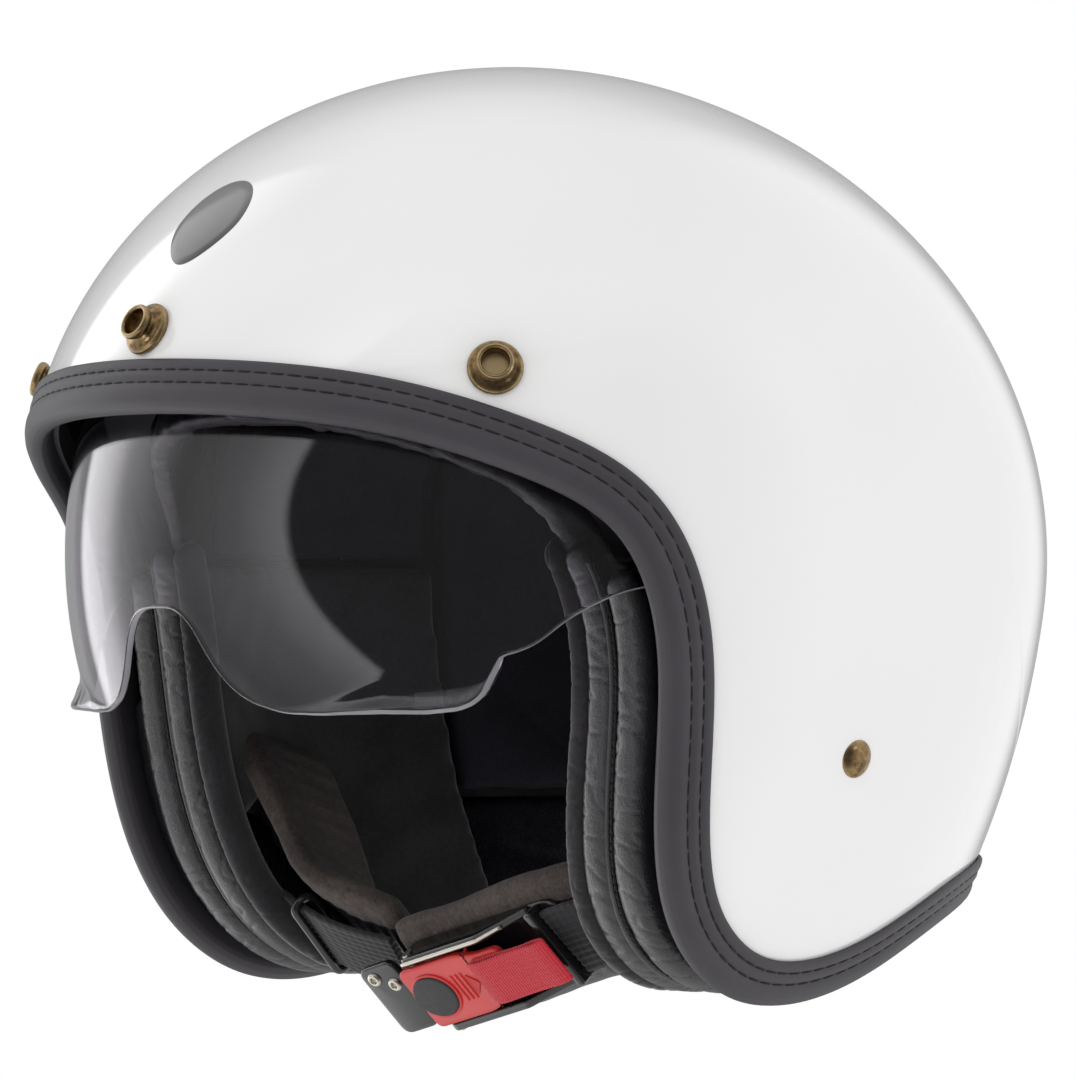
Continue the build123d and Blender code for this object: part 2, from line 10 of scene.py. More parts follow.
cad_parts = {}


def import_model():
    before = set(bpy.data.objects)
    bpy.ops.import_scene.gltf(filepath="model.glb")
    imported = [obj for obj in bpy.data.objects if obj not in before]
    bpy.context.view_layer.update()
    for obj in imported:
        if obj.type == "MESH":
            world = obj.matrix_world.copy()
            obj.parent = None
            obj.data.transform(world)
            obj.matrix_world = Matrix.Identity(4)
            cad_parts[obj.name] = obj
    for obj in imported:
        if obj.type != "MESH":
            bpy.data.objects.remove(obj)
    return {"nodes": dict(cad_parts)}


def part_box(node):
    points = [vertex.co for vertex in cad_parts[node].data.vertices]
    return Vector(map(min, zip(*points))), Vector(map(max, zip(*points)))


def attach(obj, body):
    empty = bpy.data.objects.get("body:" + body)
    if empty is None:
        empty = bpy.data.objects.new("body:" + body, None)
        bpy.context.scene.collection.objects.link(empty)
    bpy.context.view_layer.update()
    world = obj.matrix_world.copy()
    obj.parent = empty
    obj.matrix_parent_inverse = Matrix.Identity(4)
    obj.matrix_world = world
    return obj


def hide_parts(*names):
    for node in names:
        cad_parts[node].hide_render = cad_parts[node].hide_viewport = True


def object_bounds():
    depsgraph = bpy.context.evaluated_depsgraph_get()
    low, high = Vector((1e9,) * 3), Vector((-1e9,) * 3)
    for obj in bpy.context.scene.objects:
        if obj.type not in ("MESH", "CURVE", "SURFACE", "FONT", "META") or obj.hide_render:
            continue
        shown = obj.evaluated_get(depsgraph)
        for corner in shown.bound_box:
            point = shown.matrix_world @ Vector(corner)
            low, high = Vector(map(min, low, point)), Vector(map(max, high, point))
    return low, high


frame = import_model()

cad_low, cad_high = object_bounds()

# ---------------------------------------------------------------- sizes, in millimetres
# The shell is an egg that leans back; its depth below the outer surface is called grow (negative inwards).
Egg = namedtuple("Egg", "side front rear top bottom")
SHELL = Egg(124.0, 134.0, 138.0, 119.0, 185.0)
HEAD = Egg(88.0, 97.0, 104.0, 86.0, 170.0)
LEAN = radians(-11.0)
WALL = 3.5
SIDE_CENTRE = (20.0, 60.0)      # (y, z) that every line of the shell's grid starts from
# The shell's edge in side view, as (y, z), from the brow down the face opening and back to the nape.
EDGE_POINTS = [
    (-150.0, 37.0), (-134.0, 34.5), (-112.0, 29.5), (-86.0, 18.5), (-64.0, 3.5), (-53.5, -20.0),
    (-50.5, -45.0), (-47.5, -72.0), (-38.0, -95.5), (-18.0, -110.5), (14.0, -110.5),
    (58.0, -95.0), (113.0, -88.5), (150.0, -88.0),
]
VISOR_PIVOT = (0.0, -4.0)
VISOR_SIDE = 112.0
VISOR_RADIUS = 122.6
VISOR_WALL = 2.2
RIVET = (3.0, -55.0)
SNAP_PLACES = [(0.0, 25.4), (87.0, 22.0), (-87.0, 22.0)]
BADGE_HEIGHT = 56.0
MM = 0.001


# ---------------------------------------------------------------- curves and the egg
def spline(points, count, closed=False):
    """A smooth cubic line through points, by natural or closed spline over chord length."""
    points = np.array(points, float)
    if closed:
        points = np.vstack([points[-3:], points, points[:3]])
    steps = np.linalg.norm(np.diff(points, axis=0), axis=1)
    knots = np.concatenate([[0], np.cumsum(steps)])
    n = len(points)
    matrix = np.zeros((n, n))
    rhs = np.zeros_like(points)
    matrix[0, 0] = matrix[-1, -1] = 1
    for i in range(1, n - 1):
        matrix[i, i - 1:i + 2] = steps[i - 1], 2 * (steps[i - 1] + steps[i]), steps[i]
        rhs[i] = 6 * ((points[i + 1] - points[i]) / steps[i] - (points[i] - points[i - 1]) / steps[i - 1])
    bends = np.linalg.solve(matrix, rhs)
    low, high = (knots[3], knots[-3]) if closed else (0, knots[-1])
    t = np.linspace(low, high, count, endpoint=not closed)
    i = np.clip(np.searchsorted(knots, t, side="right") - 1, 0, n - 2)
    h = steps[i][:, None]
    a = ((knots[i + 1] - t) / steps[i])[:, None]
    b = 1 - a
    return (a * points[i] + b * points[i + 1]
            + ((a**3 - a) * bends[i] + (b**3 - b) * bends[i + 1]) * h**2 / 6)


def even(points, count, closed=False):
    """The same line with evenly spaced points."""
    points = np.array(points, float)
    if closed:
        points = np.vstack([points, points[:1]])
    length = np.concatenate([[0], np.cumsum(np.linalg.norm(np.diff(points, axis=0), axis=1))])
    t = np.linspace(0, length[-1], count, endpoint=not closed)
    return np.stack([np.interp(t, length, points[:, k]) for k in range(points.shape[1])], 1)


def smooth_loop(values, times):
    for _ in range(times):
        values = (np.roll(values, 1, 0) + 2 * values + np.roll(values, -1, 0)) / 4
    return values


def egg_axes(y, z, grow, egg):
    ye, ze = y * cos(LEAN) + z * sin(LEAN), z * cos(LEAN) - y * sin(LEAN)
    half_y = np.where(ye < 0, egg.front, egg.rear) + grow
    half_z = np.where(ze > 0, egg.top, egg.bottom) + grow
    return ye, ze, half_y, half_z


def half_width(y, z, grow=0.0, egg=SHELL):
    """x of the egg's side over points of the side view, or 0 outside its outline."""
    ye, ze, half_y, half_z = egg_axes(np.asarray(y, float), np.asarray(z, float), grow, egg)
    return (egg.side + grow) * np.sqrt(np.maximum(1 - (ye / half_y)**2 - (ze / half_z)**2, 0))


def egg_normal(points, egg=SHELL):
    """Outward unit normals at points on or near the egg."""
    points = np.atleast_2d(points)
    ye, ze, half_y, half_z = egg_axes(points[:, 1], points[:, 2], 0.0, egg)
    g = np.stack([points[:, 0] / egg.side**2, ye / half_y**2, ze / half_z**2], 1)
    g = np.stack([g[:, 0], g[:, 1] * cos(LEAN) - g[:, 2] * sin(LEAN), g[:, 1] * sin(LEAN) + g[:, 2] * cos(LEAN)], 1)
    return g / np.linalg.norm(g, axis=1)[:, None]


def outline_radius(angles, grow=0.0, egg=SHELL, centre=SIDE_CENTRE):
    """How far the egg's side outline is from a centre, along each direction of the side view."""
    low, high = np.zeros_like(angles), np.full_like(angles, 400.0)
    for _ in range(40):
        middle = (low + high) / 2
        y, z = centre[0] + middle * np.cos(angles), centre[1] + middle * np.sin(angles)
        ye, ze, half_y, half_z = egg_axes(y, z, grow, egg)
        inside = (ye / half_y)**2 + (ze / half_z)**2 < 1
        low, high = np.where(inside, middle, low), np.where(inside, high, middle)
    return low


def edge_line(inset=0.0, count=600):
    """The shell's edge in side view, moved inwards by inset."""
    line = spline(EDGE_POINTS, count)
    along = np.gradient(line, axis=0)
    along /= np.linalg.norm(along, axis=1)[:, None]
    return line + np.stack([-along[:, 1], along[:, 0]], 1) * inset


def edge_radius(angles, inset=0.0, centre=SIDE_CENTRE):
    """How far the edge is from a centre of the side view, or a long way where there is no edge."""
    line = edge_line(inset) - np.array(centre)
    angle = np.unwrap(np.arctan2(line[:, 1], line[:, 0]))
    angle = angle + 2 * pi * np.round((pi * 1.4 - angle.mean()) / (2 * pi))
    radius = np.linalg.norm(line, axis=1)
    asked = np.mod(angles, 2 * pi)
    found = np.interp(asked, angle, radius, left=1e4, right=1e4)
    return found


def rim_loop(count, inset=0.0, grow=0.0, egg=SHELL):
    """The whole edge round the helmet as evenly spaced points, from the brow down the left side."""
    line = edge_line(inset, 4000)
    ye, ze, half_y, half_z = egg_axes(line[:, 0], line[:, 1], grow, egg)
    room = 1 - (ye / half_y)**2 - (ze / half_z)**2
    inside = np.nonzero(room > 0)[0]
    first, last = inside[0], inside[-1]
    ends = []
    for a, b in ((first - 1, first), (last, last + 1)):
        t = room[a] / (room[a] - room[b])
        ends.append(a + t)
    k = ends[0] + (ends[1] - ends[0]) * (1 - np.cos(np.linspace(0, pi, 1200))) / 2
    y = np.interp(k, np.arange(len(line)), line[:, 0])
    z = np.interp(k, np.arange(len(line)), line[:, 1])
    x = half_width(y, z, grow, egg)
    x[0] = x[-1] = 0.0
    left = np.stack([x, y, z], 1)
    right = left[::-1][1:-1] * np.array([-1, 1, 1])
    return even(np.vstack([left, right]), count, closed=True)


# ---------------------------------------------------------------- mesh helpers
def piece(name, points, faces, material, body, smooth=True, slots=None, indices=None):
    """A mesh object from points in millimetres, riding on a CAD body."""
    mesh = bpy.data.meshes.new(name)
    mesh.from_pydata([tuple(p) for p in np.asarray(points, float) * MM], [], faces)
    for m in (slots or [material]):
        mesh.materials.append(m)
    if indices is not None:
        mesh.polygons.foreach_set("material_index", np.asarray(indices, np.int32))
    mesh.validate()
    mesh.polygons.foreach_set("use_smooth", [smooth] * len(mesh.polygons))
    mesh.update()
    made = bpy.data.objects.new(name, mesh)
    bpy.context.scene.collection.objects.link(made)
    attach(made, body)
    return made


def tidy(made, merge=0.01):
    """Merges coincident points and turns all faces outwards."""
    bm = bmesh.new()
    bm.from_mesh(made.data)
    bmesh.ops.remove_doubles(bm, verts=bm.verts, dist=merge * MM)
    bmesh.ops.dissolve_degenerate(bm, dist=1e-7, edges=bm.edges)
    bmesh.ops.recalc_face_normals(bm, faces=bm.faces)
    bm.to_mesh(made.data)
    bm.free()
    return made


def grid_faces(rows, columns, wrap_columns=True, wrap_rows=False, start=0):
    faces = []
    for i in range(rows if wrap_rows else rows - 1):
        for j in range(columns if wrap_columns else columns - 1):
            a, b = i * columns, ((i + 1) % rows) * columns
            k = (j + 1) % columns
            faces.append((start + a + j, start + a + k, start + b + k, start + b + j))
    return faces


def frames_of(path, normals, closed=True):
    """Unit tangents, the given normals squared up to them, and the sideways directions."""
    if closed:
        along = np.roll(path, -1, 0) - np.roll(path, 1, 0)
    else:
        along = np.gradient(path, axis=0)
    along /= np.linalg.norm(along, axis=1)[:, None]
    up = normals - along * np.sum(normals * along, 1)[:, None]
    up /= np.linalg.norm(up, axis=1)[:, None]
    return along, up, np.cross(up, along)


def sweep(path, side, up, profile, closed=True, caps=True):
    """Points and faces of a profile, (sideways, up) pairs, carried along a path."""
    profile = np.asarray(profile, float)
    if profile.ndim == 2:
        profile = np.repeat(profile[None], len(path), 0)
    points = path[:, None] + side[:, None] * profile[:, :, :1] + up[:, None] * profile[:, :, 1:]
    rows, columns = profile.shape[:2]
    faces = grid_faces(rows, columns, wrap_rows=closed)
    if not closed and caps:
        faces.append(tuple(range(columns))[::-1])
        faces.append(tuple(range((rows - 1) * columns, rows * columns)))
    return points.reshape(-1, 3), faces


def lathe(name, outline, place, axis, material, body, segments=72):
    """A turned piece: an outline of (radius, height) pairs about an axis."""
    outline = np.array(outline, float)
    axis = np.array(axis, float) / np.linalg.norm(axis)
    side = np.cross(axis, [0.0, 0.0, 1.0])
    side /= np.linalg.norm(side)
    turn = np.cross(axis, side)
    angles = np.linspace(0, 2 * pi, segments, endpoint=False)
    ring = side[None] * np.cos(angles)[:, None] + turn[None] * np.sin(angles)[:, None]
    points = (np.array(place)[None, None] + outline[:, 1][:, None, None] * axis
              + outline[:, 0][:, None, None] * ring[None])
    made = piece(name, points.reshape(-1, 3), grid_faces(len(outline), segments), material, body)
    return tidy(made, 0.002)


def stitches(points, along, up, length, radius):
    """Small rounded stitches, each a capsule lying along its row."""
    ring = [(cos(a), sin(a)) for a in np.linspace(0, 2 * pi, 8, endpoint=False)]
    stations = [(-0.5, 0.15, -0.9), (-0.42, 0.8, -0.35), (-0.2, 1.0, 0.0), (0.2, 1.0, 0.0), (0.42, 0.8, -0.35),
                (0.5, 0.15, -0.9)]
    all_points, faces = [], []
    across = np.cross(up, along)
    for p, t, n, s in zip(points, along, up, across):
        start = len(all_points)
        for place, wide, drop in stations:
            middle = p + t * (place * length) + n * (drop * radius)
            all_points += [middle + s * (c * radius * wide) + n * (d * radius * wide) for c, d in ring]
        faces += grid_faces(len(stations), len(ring), start=start)
        faces.append(tuple(range(start, start + 8))[::-1])
        faces.append(tuple(range(start + 40, start + 48)))
    return all_points, faces


def egg_place(x, height):
    """A place on the front of the shell, and its outward normal."""
    y = -SHELL.front * sqrt(1 - (x / SHELL.side)**2 - (height / SHELL.top)**2)
    place = np.array([x, y * cos(LEAN) - height * sin(LEAN), y * sin(LEAN) + height * cos(LEAN)])
    return place, egg_normal(place)[0]


# ---------------------------------------------------------------- materials
def material(name, colour, roughness=0.5, metallic=0.0):
    """A new Principled material; returns it with its node tree and shader."""
    made = bpy.data.materials.new(name)
    made.use_nodes = True
    shader = made.node_tree.nodes["Principled BSDF"]
    shader.inputs["Base Color"].default_value = (*colour, 1)
    shader.inputs["Roughness"].default_value = roughness
    shader.inputs["Metallic"].default_value = metallic
    return made, made.node_tree, shader


def srgb(r, g, b):
    """A linear colour from 0 to 255 screen values."""
    values = [c / 255 for c in (r, g, b)]
    return tuple(c / 12.92 if c <= 0.04045 else ((c + 0.055) / 1.055)**2.4 for c in values)


def add(tree, kind, inputs=(), **settings):
    """A node with its settings, its sockets given as values or as other nodes' outputs."""
    made = tree.nodes.new(kind)
    for key, value in settings.items():
        setattr(made, key, value)
    for key, value in dict(inputs).items():
        if isinstance(value, bpy.types.NodeSocket):
            tree.links.new(value, made.inputs[key])
        else:
            made.inputs[key].default_value = value
    return made


def object_space(tree):
    return add(tree, "ShaderNodeTexCoord").outputs["Object"]


def noise_of(tree, scale, detail=4.0, roughness=0.55, distortion=0.0):
    return add(tree, "ShaderNodeTexNoise", {"Vector": object_space(tree), "Scale": scale, "Detail": detail,
                                            "Roughness": roughness, "Distortion": distortion})


def ramp(tree, value, low, high, a, b):
    """Maps a value from low..high to a..b."""
    return add(tree, "ShaderNodeMapRange", {"Value": value, "From Min": low, "From Max": high,
                                            "To Min": a, "To Max": b}).outputs["Result"]


def mix(tree, factor, a, b):
    made = add(tree, "ShaderNodeMix", data_type="RGBA")
    for key, value in ((0, factor), (6, a), (7, b)):
        if isinstance(value, bpy.types.NodeSocket):
            tree.links.new(value, made.inputs[key])
        else:
            made.inputs[key].default_value = (*value, 1) if key else value
    return made.outputs[2]


def math(tree, operation, a, b=0.0):
    return add(tree, "ShaderNodeMath", {0: a, 1: b}, operation=operation).outputs[0]


def bump(tree, shader, height, distance, strength=1.0, under=None):
    made = add(tree, "ShaderNodeBump", {"Height": height, "Distance": distance * MM, "Strength": strength})
    if under is not None:
        tree.links.new(under, made.inputs["Normal"])
    tree.links.new(made.outputs["Normal"], shader.inputs["Normal"])
    return made.outputs["Normal"]


def gloss_white():
    made, tree, shader = material("gloss_white", srgb(229, 229, 229), 0.16)
    shader.inputs["Coat Weight"].default_value = 1.0
    shader.inputs["Coat Roughness"].default_value = 0.02
    tint = noise_of(tree, 9.0, 2.0)
    colour = mix(tree, ramp(tree, tint.outputs["Fac"], 0.35, 0.65, 0.0, 1.0), srgb(230, 230, 230), srgb(227, 227, 227))
    tree.links.new(colour, shader.inputs["Base Color"])
    ripple = noise_of(tree, 35.0, 1.0)
    bump(tree, shader, ripple.outputs["Fac"], 0.012, 0.5)
    return made


def leather(name, light, dark, roughness, grain, depth, coat=0.0, creases=0.0):
    """Grained leather: fine pebbles, finer pores and, if asked, slow creases."""
    made, tree, shader = material(name, light, roughness)
    pebbles = add(tree, "ShaderNodeTexVoronoi", {"Vector": object_space(tree), "Scale": grain, "Randomness": 1.0},
                  feature="DISTANCE_TO_EDGE")
    pores = noise_of(tree, grain * 2.6, 3.0)
    cloud = noise_of(tree, 38.0, 4.0)
    tree.links.new(mix(tree, ramp(tree, cloud.outputs["Fac"], 0.3, 0.7, 0.0, 1.0), dark, light),
                   shader.inputs["Base Color"])
    tree.links.new(ramp(tree, pores.outputs["Fac"], 0.3, 0.7, roughness - 0.06, roughness + 0.08),
                   shader.inputs["Roughness"])
    cells = ramp(tree, pebbles.outputs["Distance"], 0.0, 0.12, 0.0, 1.0)
    under = bump(tree, shader, cells, depth, 0.7)
    if creases:
        folds = noise_of(tree, 70.0, 3.0, 0.5, 1.2)
        under = bump(tree, shader, folds.outputs["Fac"], creases, 0.8, under)
    bump(tree, shader, pores.outputs["Fac"], depth * 0.5, 0.5, under)
    shader.inputs["Coat Weight"].default_value = coat
    shader.inputs["Coat Roughness"].default_value = 0.3
    return made


def cloth(name, light, dark, scale, depth, sheen=0.5):
    """Napped cloth: a fibrous speckle with sheen."""
    made, tree, shader = material(name, light, 0.92)
    fibres = noise_of(tree, scale, 6.0, 0.7, 0.6)
    patches = noise_of(tree, 45.0, 3.0)
    speckle = math(tree, "MULTIPLY", fibres.outputs["Fac"], ramp(tree, patches.outputs["Fac"], 0.3, 0.7, 0.75, 1.25))
    tree.links.new(mix(tree, ramp(tree, speckle, 0.3, 0.7, 0.0, 1.0), dark, light), shader.inputs["Base Color"])
    bump(tree, shader, fibres.outputs["Fac"], depth, 1.0)
    shader.inputs["Sheen Weight"].default_value = sheen
    shader.inputs["Sheen Roughness"].default_value = 0.45
    return made


def aged_brass():
    made, tree, shader = material("aged_brass", srgb(150, 122, 84), 0.34, 1.0)
    stain = noise_of(tree, 420.0, 5.0, 0.65)
    dark = ramp(tree, stain.outputs["Fac"], 0.38, 0.62, 0.0, 1.0)
    edges = add(tree, "ShaderNodeNewGeometry").outputs["Pointiness"]
    worn = ramp(tree, edges, 0.5, 0.56, 0.0, 1.0)
    base = mix(tree, dark, srgb(92, 75, 52), srgb(158, 130, 90))
    tree.links.new(mix(tree, worn, base, srgb(214, 188, 142)), shader.inputs["Base Color"])
    tree.links.new(ramp(tree, stain.outputs["Fac"], 0.3, 0.7, 0.42, 0.26), shader.inputs["Roughness"])
    bump(tree, shader, stain.outputs["Fac"], 0.03, 0.5)
    return made


def bare_steel(name, colour, roughness):
    made, tree, shader = material(name, colour, roughness, 1.0)
    brushed = noise_of(tree, 900.0, 3.0)
    tree.links.new(ramp(tree, brushed.outputs["Fac"], 0.3, 0.7, roughness - 0.07, roughness + 0.1),
                   shader.inputs["Roughness"])
    bump(tree, shader, brushed.outputs["Fac"], 0.01, 0.4)
    return made


def moulded(name, colour, roughness, coat=0.0, texture=700.0, depth=0.012):
    """Moulded plastic or rubber with its fine spark texture."""
    made, tree, shader = material(name, colour, roughness)
    spark = noise_of(tree, texture, 2.0)
    tree.links.new(ramp(tree, spark.outputs["Fac"], 0.3, 0.7, max(roughness - 0.05, 0.02), roughness + 0.06),
                   shader.inputs["Roughness"])
    cloud = noise_of(tree, 60.0, 2.0)
    shade = tuple(c * 0.86 for c in colour)
    tree.links.new(mix(tree, ramp(tree, cloud.outputs["Fac"], 0.3, 0.7, 0.0, 1.0), shade, colour),
                   shader.inputs["Base Color"])
    bump(tree, shader, spark.outputs["Fac"], depth, 0.5)
    shader.inputs["Coat Weight"].default_value = coat
    shader.inputs["Coat Roughness"].default_value = 0.08
    return made


def clear_lens():
    made, tree, shader = material("clear_lens", srgb(224, 220, 228), 0.01)
    shader.inputs["Transmission Weight"].default_value = 1.0
    shader.inputs["IOR"].default_value = 1.49
    film = noise_of(tree, 14.0, 2.0)
    tree.links.new(mix(tree, ramp(tree, film.outputs["Fac"], 0.3, 0.7, 0.0, 1.0), srgb(219, 214, 224),
                       srgb(226, 223, 229)), shader.inputs["Base Color"])
    return made


def lens_edge():
    """The polished edge of the lens, where light gathers: its grey, part opaque colour is painted light standing in for
    that.
    """
    made, tree, shader = material("lens_edge", srgb(206, 203, 208), 0.12)
    shader.inputs["Transmission Weight"].default_value = 0.45
    film = noise_of(tree, 60.0, 2.0)
    # Painted light: grey tones, mottled at random, stand in for the light that gathers in the clear edge.
    tree.links.new(mix(tree, ramp(tree, film.outputs["Fac"], 0.3, 0.7, 0.0, 1.0), srgb(140, 137, 143),
                       srgb(180, 177, 183)), shader.inputs["Base Color"])
    return made


def woven(name, light, dark, ribs, axis, depth):
    """Ribbed webbing: ribs across one direction of the row frame, with finer threads, and painted shade that darkens
    the colour in the rib grooves.
    """
    made, tree, shader = material(name, light, 0.7)
    place = add(tree, "ShaderNodeVectorMath", {0: object_space(tree), 1: axis}, operation="DOT_PRODUCT")
    wave = math(tree, "SINE", math(tree, "MULTIPLY", place.outputs["Value"], ribs * 2 * pi * 1000))
    threads = noise_of(tree, 1500.0, 3.0)
    # Painted shade: the colour follows the rib height, darker in the grooves and lighter on the crests.
    tree.links.new(mix(tree, ramp(tree, wave, -1.0, 1.0, 0.0, 1.0), dark, light), shader.inputs["Base Color"])
    under = bump(tree, shader, wave, depth, 0.8)
    bump(tree, shader, threads.outputs["Fac"], 0.05, 0.7, under)
    shader.inputs["Sheen Weight"].default_value = 0.1
    return made


def badge_print():
    """A dark print that fades from grey at the top to near black."""
    made, tree, shader = material("badge_print", srgb(70, 70, 72), 0.3)
    height = add(tree, "ShaderNodeSeparateXYZ", {0: object_space(tree)}).outputs["Z"]
    low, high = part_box("front_badge")
    tree.links.new(mix(tree, ramp(tree, height, low.z, high.z, 0.0, 1.0), srgb(40, 40, 42), srgb(92, 91, 92)),
                   shader.inputs["Base Color"])
    shader.inputs["Coat Weight"].default_value = 0.5
    shader.inputs["Coat Roughness"].default_value = 0.03
    return made


WHITE = gloss_white()
TRIM = leather("trim_leather", srgb(62, 59, 64), srgb(56, 53, 58), 0.5, 1500.0, 0.03)
THREAD = cloth("thread", srgb(26, 25, 28), srgb(14, 14, 16), 2200.0, 0.03, 0.2)
ROLL = leather("liner_leather", srgb(38, 36, 41), srgb(25, 24, 28), 0.34, 900.0, 0.09, coat=0.45, creases=0.35)
SUEDE = cloth("suede", srgb(46, 43, 46), srgb(26, 24, 27), 900.0, 0.12, 0.4)
MESH_CLOTH = cloth("mesh_cloth", srgb(36, 32, 44), srgb(20, 17, 26), 1300.0, 0.1, 0.04)
FLEECE = cloth("fleece", srgb(84, 73, 69), srgb(44, 37, 34), 700.0, 0.5, 0.12)
VINYL = leather("vinyl", srgb(40, 39, 46), srgb(26, 25, 31), 0.24, 700.0, 0.05, coat=0.6, creases=0.3)
BAND = leather("band_leather", srgb(26, 24, 30), srgb(15, 14, 18), 0.42, 900.0, 0.09, coat=0.1, creases=0.5)
BRASS = aged_brass()
STEEL = bare_steel("steel", srgb(190, 188, 184), 0.25)
PALE_STEEL = bare_steel("pale_steel", srgb(214, 208, 196), 0.3)
BLACK_GLOSS = moulded("black_gloss", srgb(22, 22, 24), 0.18, coat=0.6)
BLACK_SOFT = moulded("black_soft", srgb(34, 34, 37), 0.55)
RED = moulded("red_plastic", srgb(196, 44, 42), 0.36, coat=0.15, texture=500.0)
RUBBER = moulded("grey_rubber", srgb(46, 45, 48), 0.55)
LENS = clear_lens()
LENS_EDGE = lens_edge()
# The darker colour of the webbing and of the red tape is the painted shade in their rib grooves.
WEBBING = woven("webbing", srgb(30, 29, 33), srgb(24, 23, 27), 0.55, tuple(Vector((0.6, 0.6, 0.5)).normalized()), 0.06)
RED_TAPE = woven("red_tape", srgb(196, 28, 46), srgb(170, 20, 38), 1.1, tuple(Vector((0.97, 0.0, 0.24)).normalized()), 0.12)
BADGE = badge_print()
FOAM = moulded("bead_foam", srgb(40, 40, 43), 0.8, texture=260.0, depth=0.3)


# ---------------------------------------------------------------- outer shell
def shell_sheet(grow, angles, rings):
    """The left half of the egg as rings about the side centre, out to the shell's edge or the middle plane."""
    reach = outline_radius(angles, grow)
    edge = edge_radius(angles)
    limit = np.minimum(edge, reach)
    on_edge = edge < reach
    top = np.arcsin(np.clip(limit / reach, 0, 1))
    spread = np.sin(top[None] * (np.arange(1, rings + 1) / rings)[:, None]) * reach[None]
    y = SIDE_CENTRE[0] + spread * np.cos(angles)
    z = SIDE_CENTRE[1] + spread * np.sin(angles)
    x = half_width(y, z, grow)
    x[-1, ~on_edge] = 0.0
    pole = [half_width(*SIDE_CENTRE, grow).item(), *SIDE_CENTRE]
    return np.vstack([[pole], np.stack([x, y, z], 2).reshape(-1, 3)]), on_edge


def outer_shell():
    count, rings = 420, 96
    angles = np.linspace(0, 2 * pi, count, endpoint=False)
    points, faces = [], []
    total = 1 + count * rings
    for k, (grow, side) in enumerate(((0, 1), (0, -1), (-WALL, 1), (-WALL, -1))):
        sheet, on_edge = shell_sheet(grow, angles, rings)
        points.append(sheet * np.array([side, 1, 1]))
        start = k * total
        faces += [(start, start + 1 + j, start + 1 + (j + 1) % count) for j in range(count)]
        faces += grid_faces(rings, count, start=start + 1)
    last = 1 + (rings - 1) * count
    outer_on_edge = shell_sheet(0, angles, rings)[1]
    for side in (0, 1):
        for j in range(count):
            k = (j + 1) % count
            if outer_on_edge[j] and outer_on_edge[k]:
                a, b = side * total + last, (2 + side) * total + last
                faces.append((a + j, a + k, b + k, b + j))
    sheet_faces = 2 * rings * count
    indices = [0] * sheet_faces + [1] * (len(faces) - sheet_faces)
    made = piece("shell", np.vstack(points), faces, None, "helmet", slots=[WHITE, BLACK_SOFT], indices=indices)
    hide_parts("outer_shell")
    return tidy(made, 0.02)


# ---------------------------------------------------------------- leather trim
# Sideways runs into the shell from its edge, up runs out of its surface.
TRIM_OUTLINE = [
    (9.2, 0.05), (9.35, 0.6), (9.0, 1.15), (8.2, 1.4), (7.2, 1.45), (6.7, 1.25), (6.35, 1.05), (6.0, 1.25),
    (5.4, 1.5), (4.8, 1.58), (4.1, 1.5), (3.5, 1.25), (3.15, 1.05), (2.8, 1.3), (2.0, 1.62), (0.9, 1.8),
    (-0.5, 1.72), (-1.9, 1.28), (-3.1, 0.42), (-3.85, -0.8), (-4.05, -2.0), (-3.7, -3.4), (-2.6, -4.5),
    (-1.2, -5.0), (1.5, -5.1), (5.0, -5.05), (8.6, -4.95), (9.0, -4.5), (8.9, -3.6), (0.3, -3.55), (0.3, 0.05),
]
STITCH_ROWS = (6.35, 3.15)
STITCH_PITCH = 4.6


def trim_path(count):
    path = rim_loop(count)
    along, up, side = frames_of(path, egg_normal(path))
    if np.dot(side[0], [0, 0, 1]) < 0:
        side = -side
    return path, along, up, side


def edge_trim():
    path, along, up, side = trim_path(900)
    outline = even(TRIM_OUTLINE[:29], 76)
    outline = np.vstack([outline, TRIM_OUTLINE[29:]])
    rows = np.repeat(outline[None], len(path), 0)
    for i, place in enumerate(path):
        swell = noise.noise(Vector(place * 0.05)) * 0.1
        rows[i, :, 1] += np.where(outline[:, 1] > 0.8, swell, 0)
    points, faces = sweep(path, side, up, rows)
    made = piece("trim", points, faces, TRIM, "helmet")
    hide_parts("edge_trim")
    tidy(made)
    length = np.linalg.norm(np.diff(np.vstack([path, path[:1]]), axis=0), axis=1).sum()
    count = int(length / STITCH_PITCH)
    path, along, up, side = trim_path(count)
    points, faces = [], []
    for row in STITCH_ROWS:
        line = path + side * row + up * 1.12
        more, more_faces = stitches(line, along, up, STITCH_PITCH * 0.97, 0.3)
        faces += [tuple(i + len(points) for i in face) for face in more_faces]
        points += more
    seams = piece("trim_stitching", points, faces, THREAD, "helmet")
    return made


# ---------------------------------------------------------------- brow press studs, rivets and badge
STUD_OUTLINE = [
    (0.0, 1.75), (1.6, 1.75), (1.9, 2.1), (2.5, 2.1), (2.75, 1.75), (3.15, 1.75), (3.25, 2.2), (3.3, 4.9),
    (3.42, 5.35), (3.75, 5.7), (4.1, 5.75), (4.45, 5.45), (4.6, 4.9), (4.55, 4.3), (4.3, 3.75), (3.95, 3.35),
    (3.9, 2.95), (4.3, 2.6), (4.9, 2.3), (5.6, 2.0), (6.3, 1.75), (6.75, 1.3), (6.85, 0.75), (6.7, 0.2), (6.3, -0.3),
]


def rounded(outline, count):
    """An outline drawn smoothly through its points."""
    return spline(outline, count)


def brow_studs():
    points, faces = [], []
    for i, (x, height) in enumerate(SNAP_PLACES):
        place, normal = egg_place(x, height)
        name = "brow_stud_" + ("centre", "left", "right")[i]
        made = lathe(name, rounded(STUD_OUTLINE, 90), place, normal, BRASS, "helmet")
        if i == 0:
            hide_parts("brow_snap_studs")


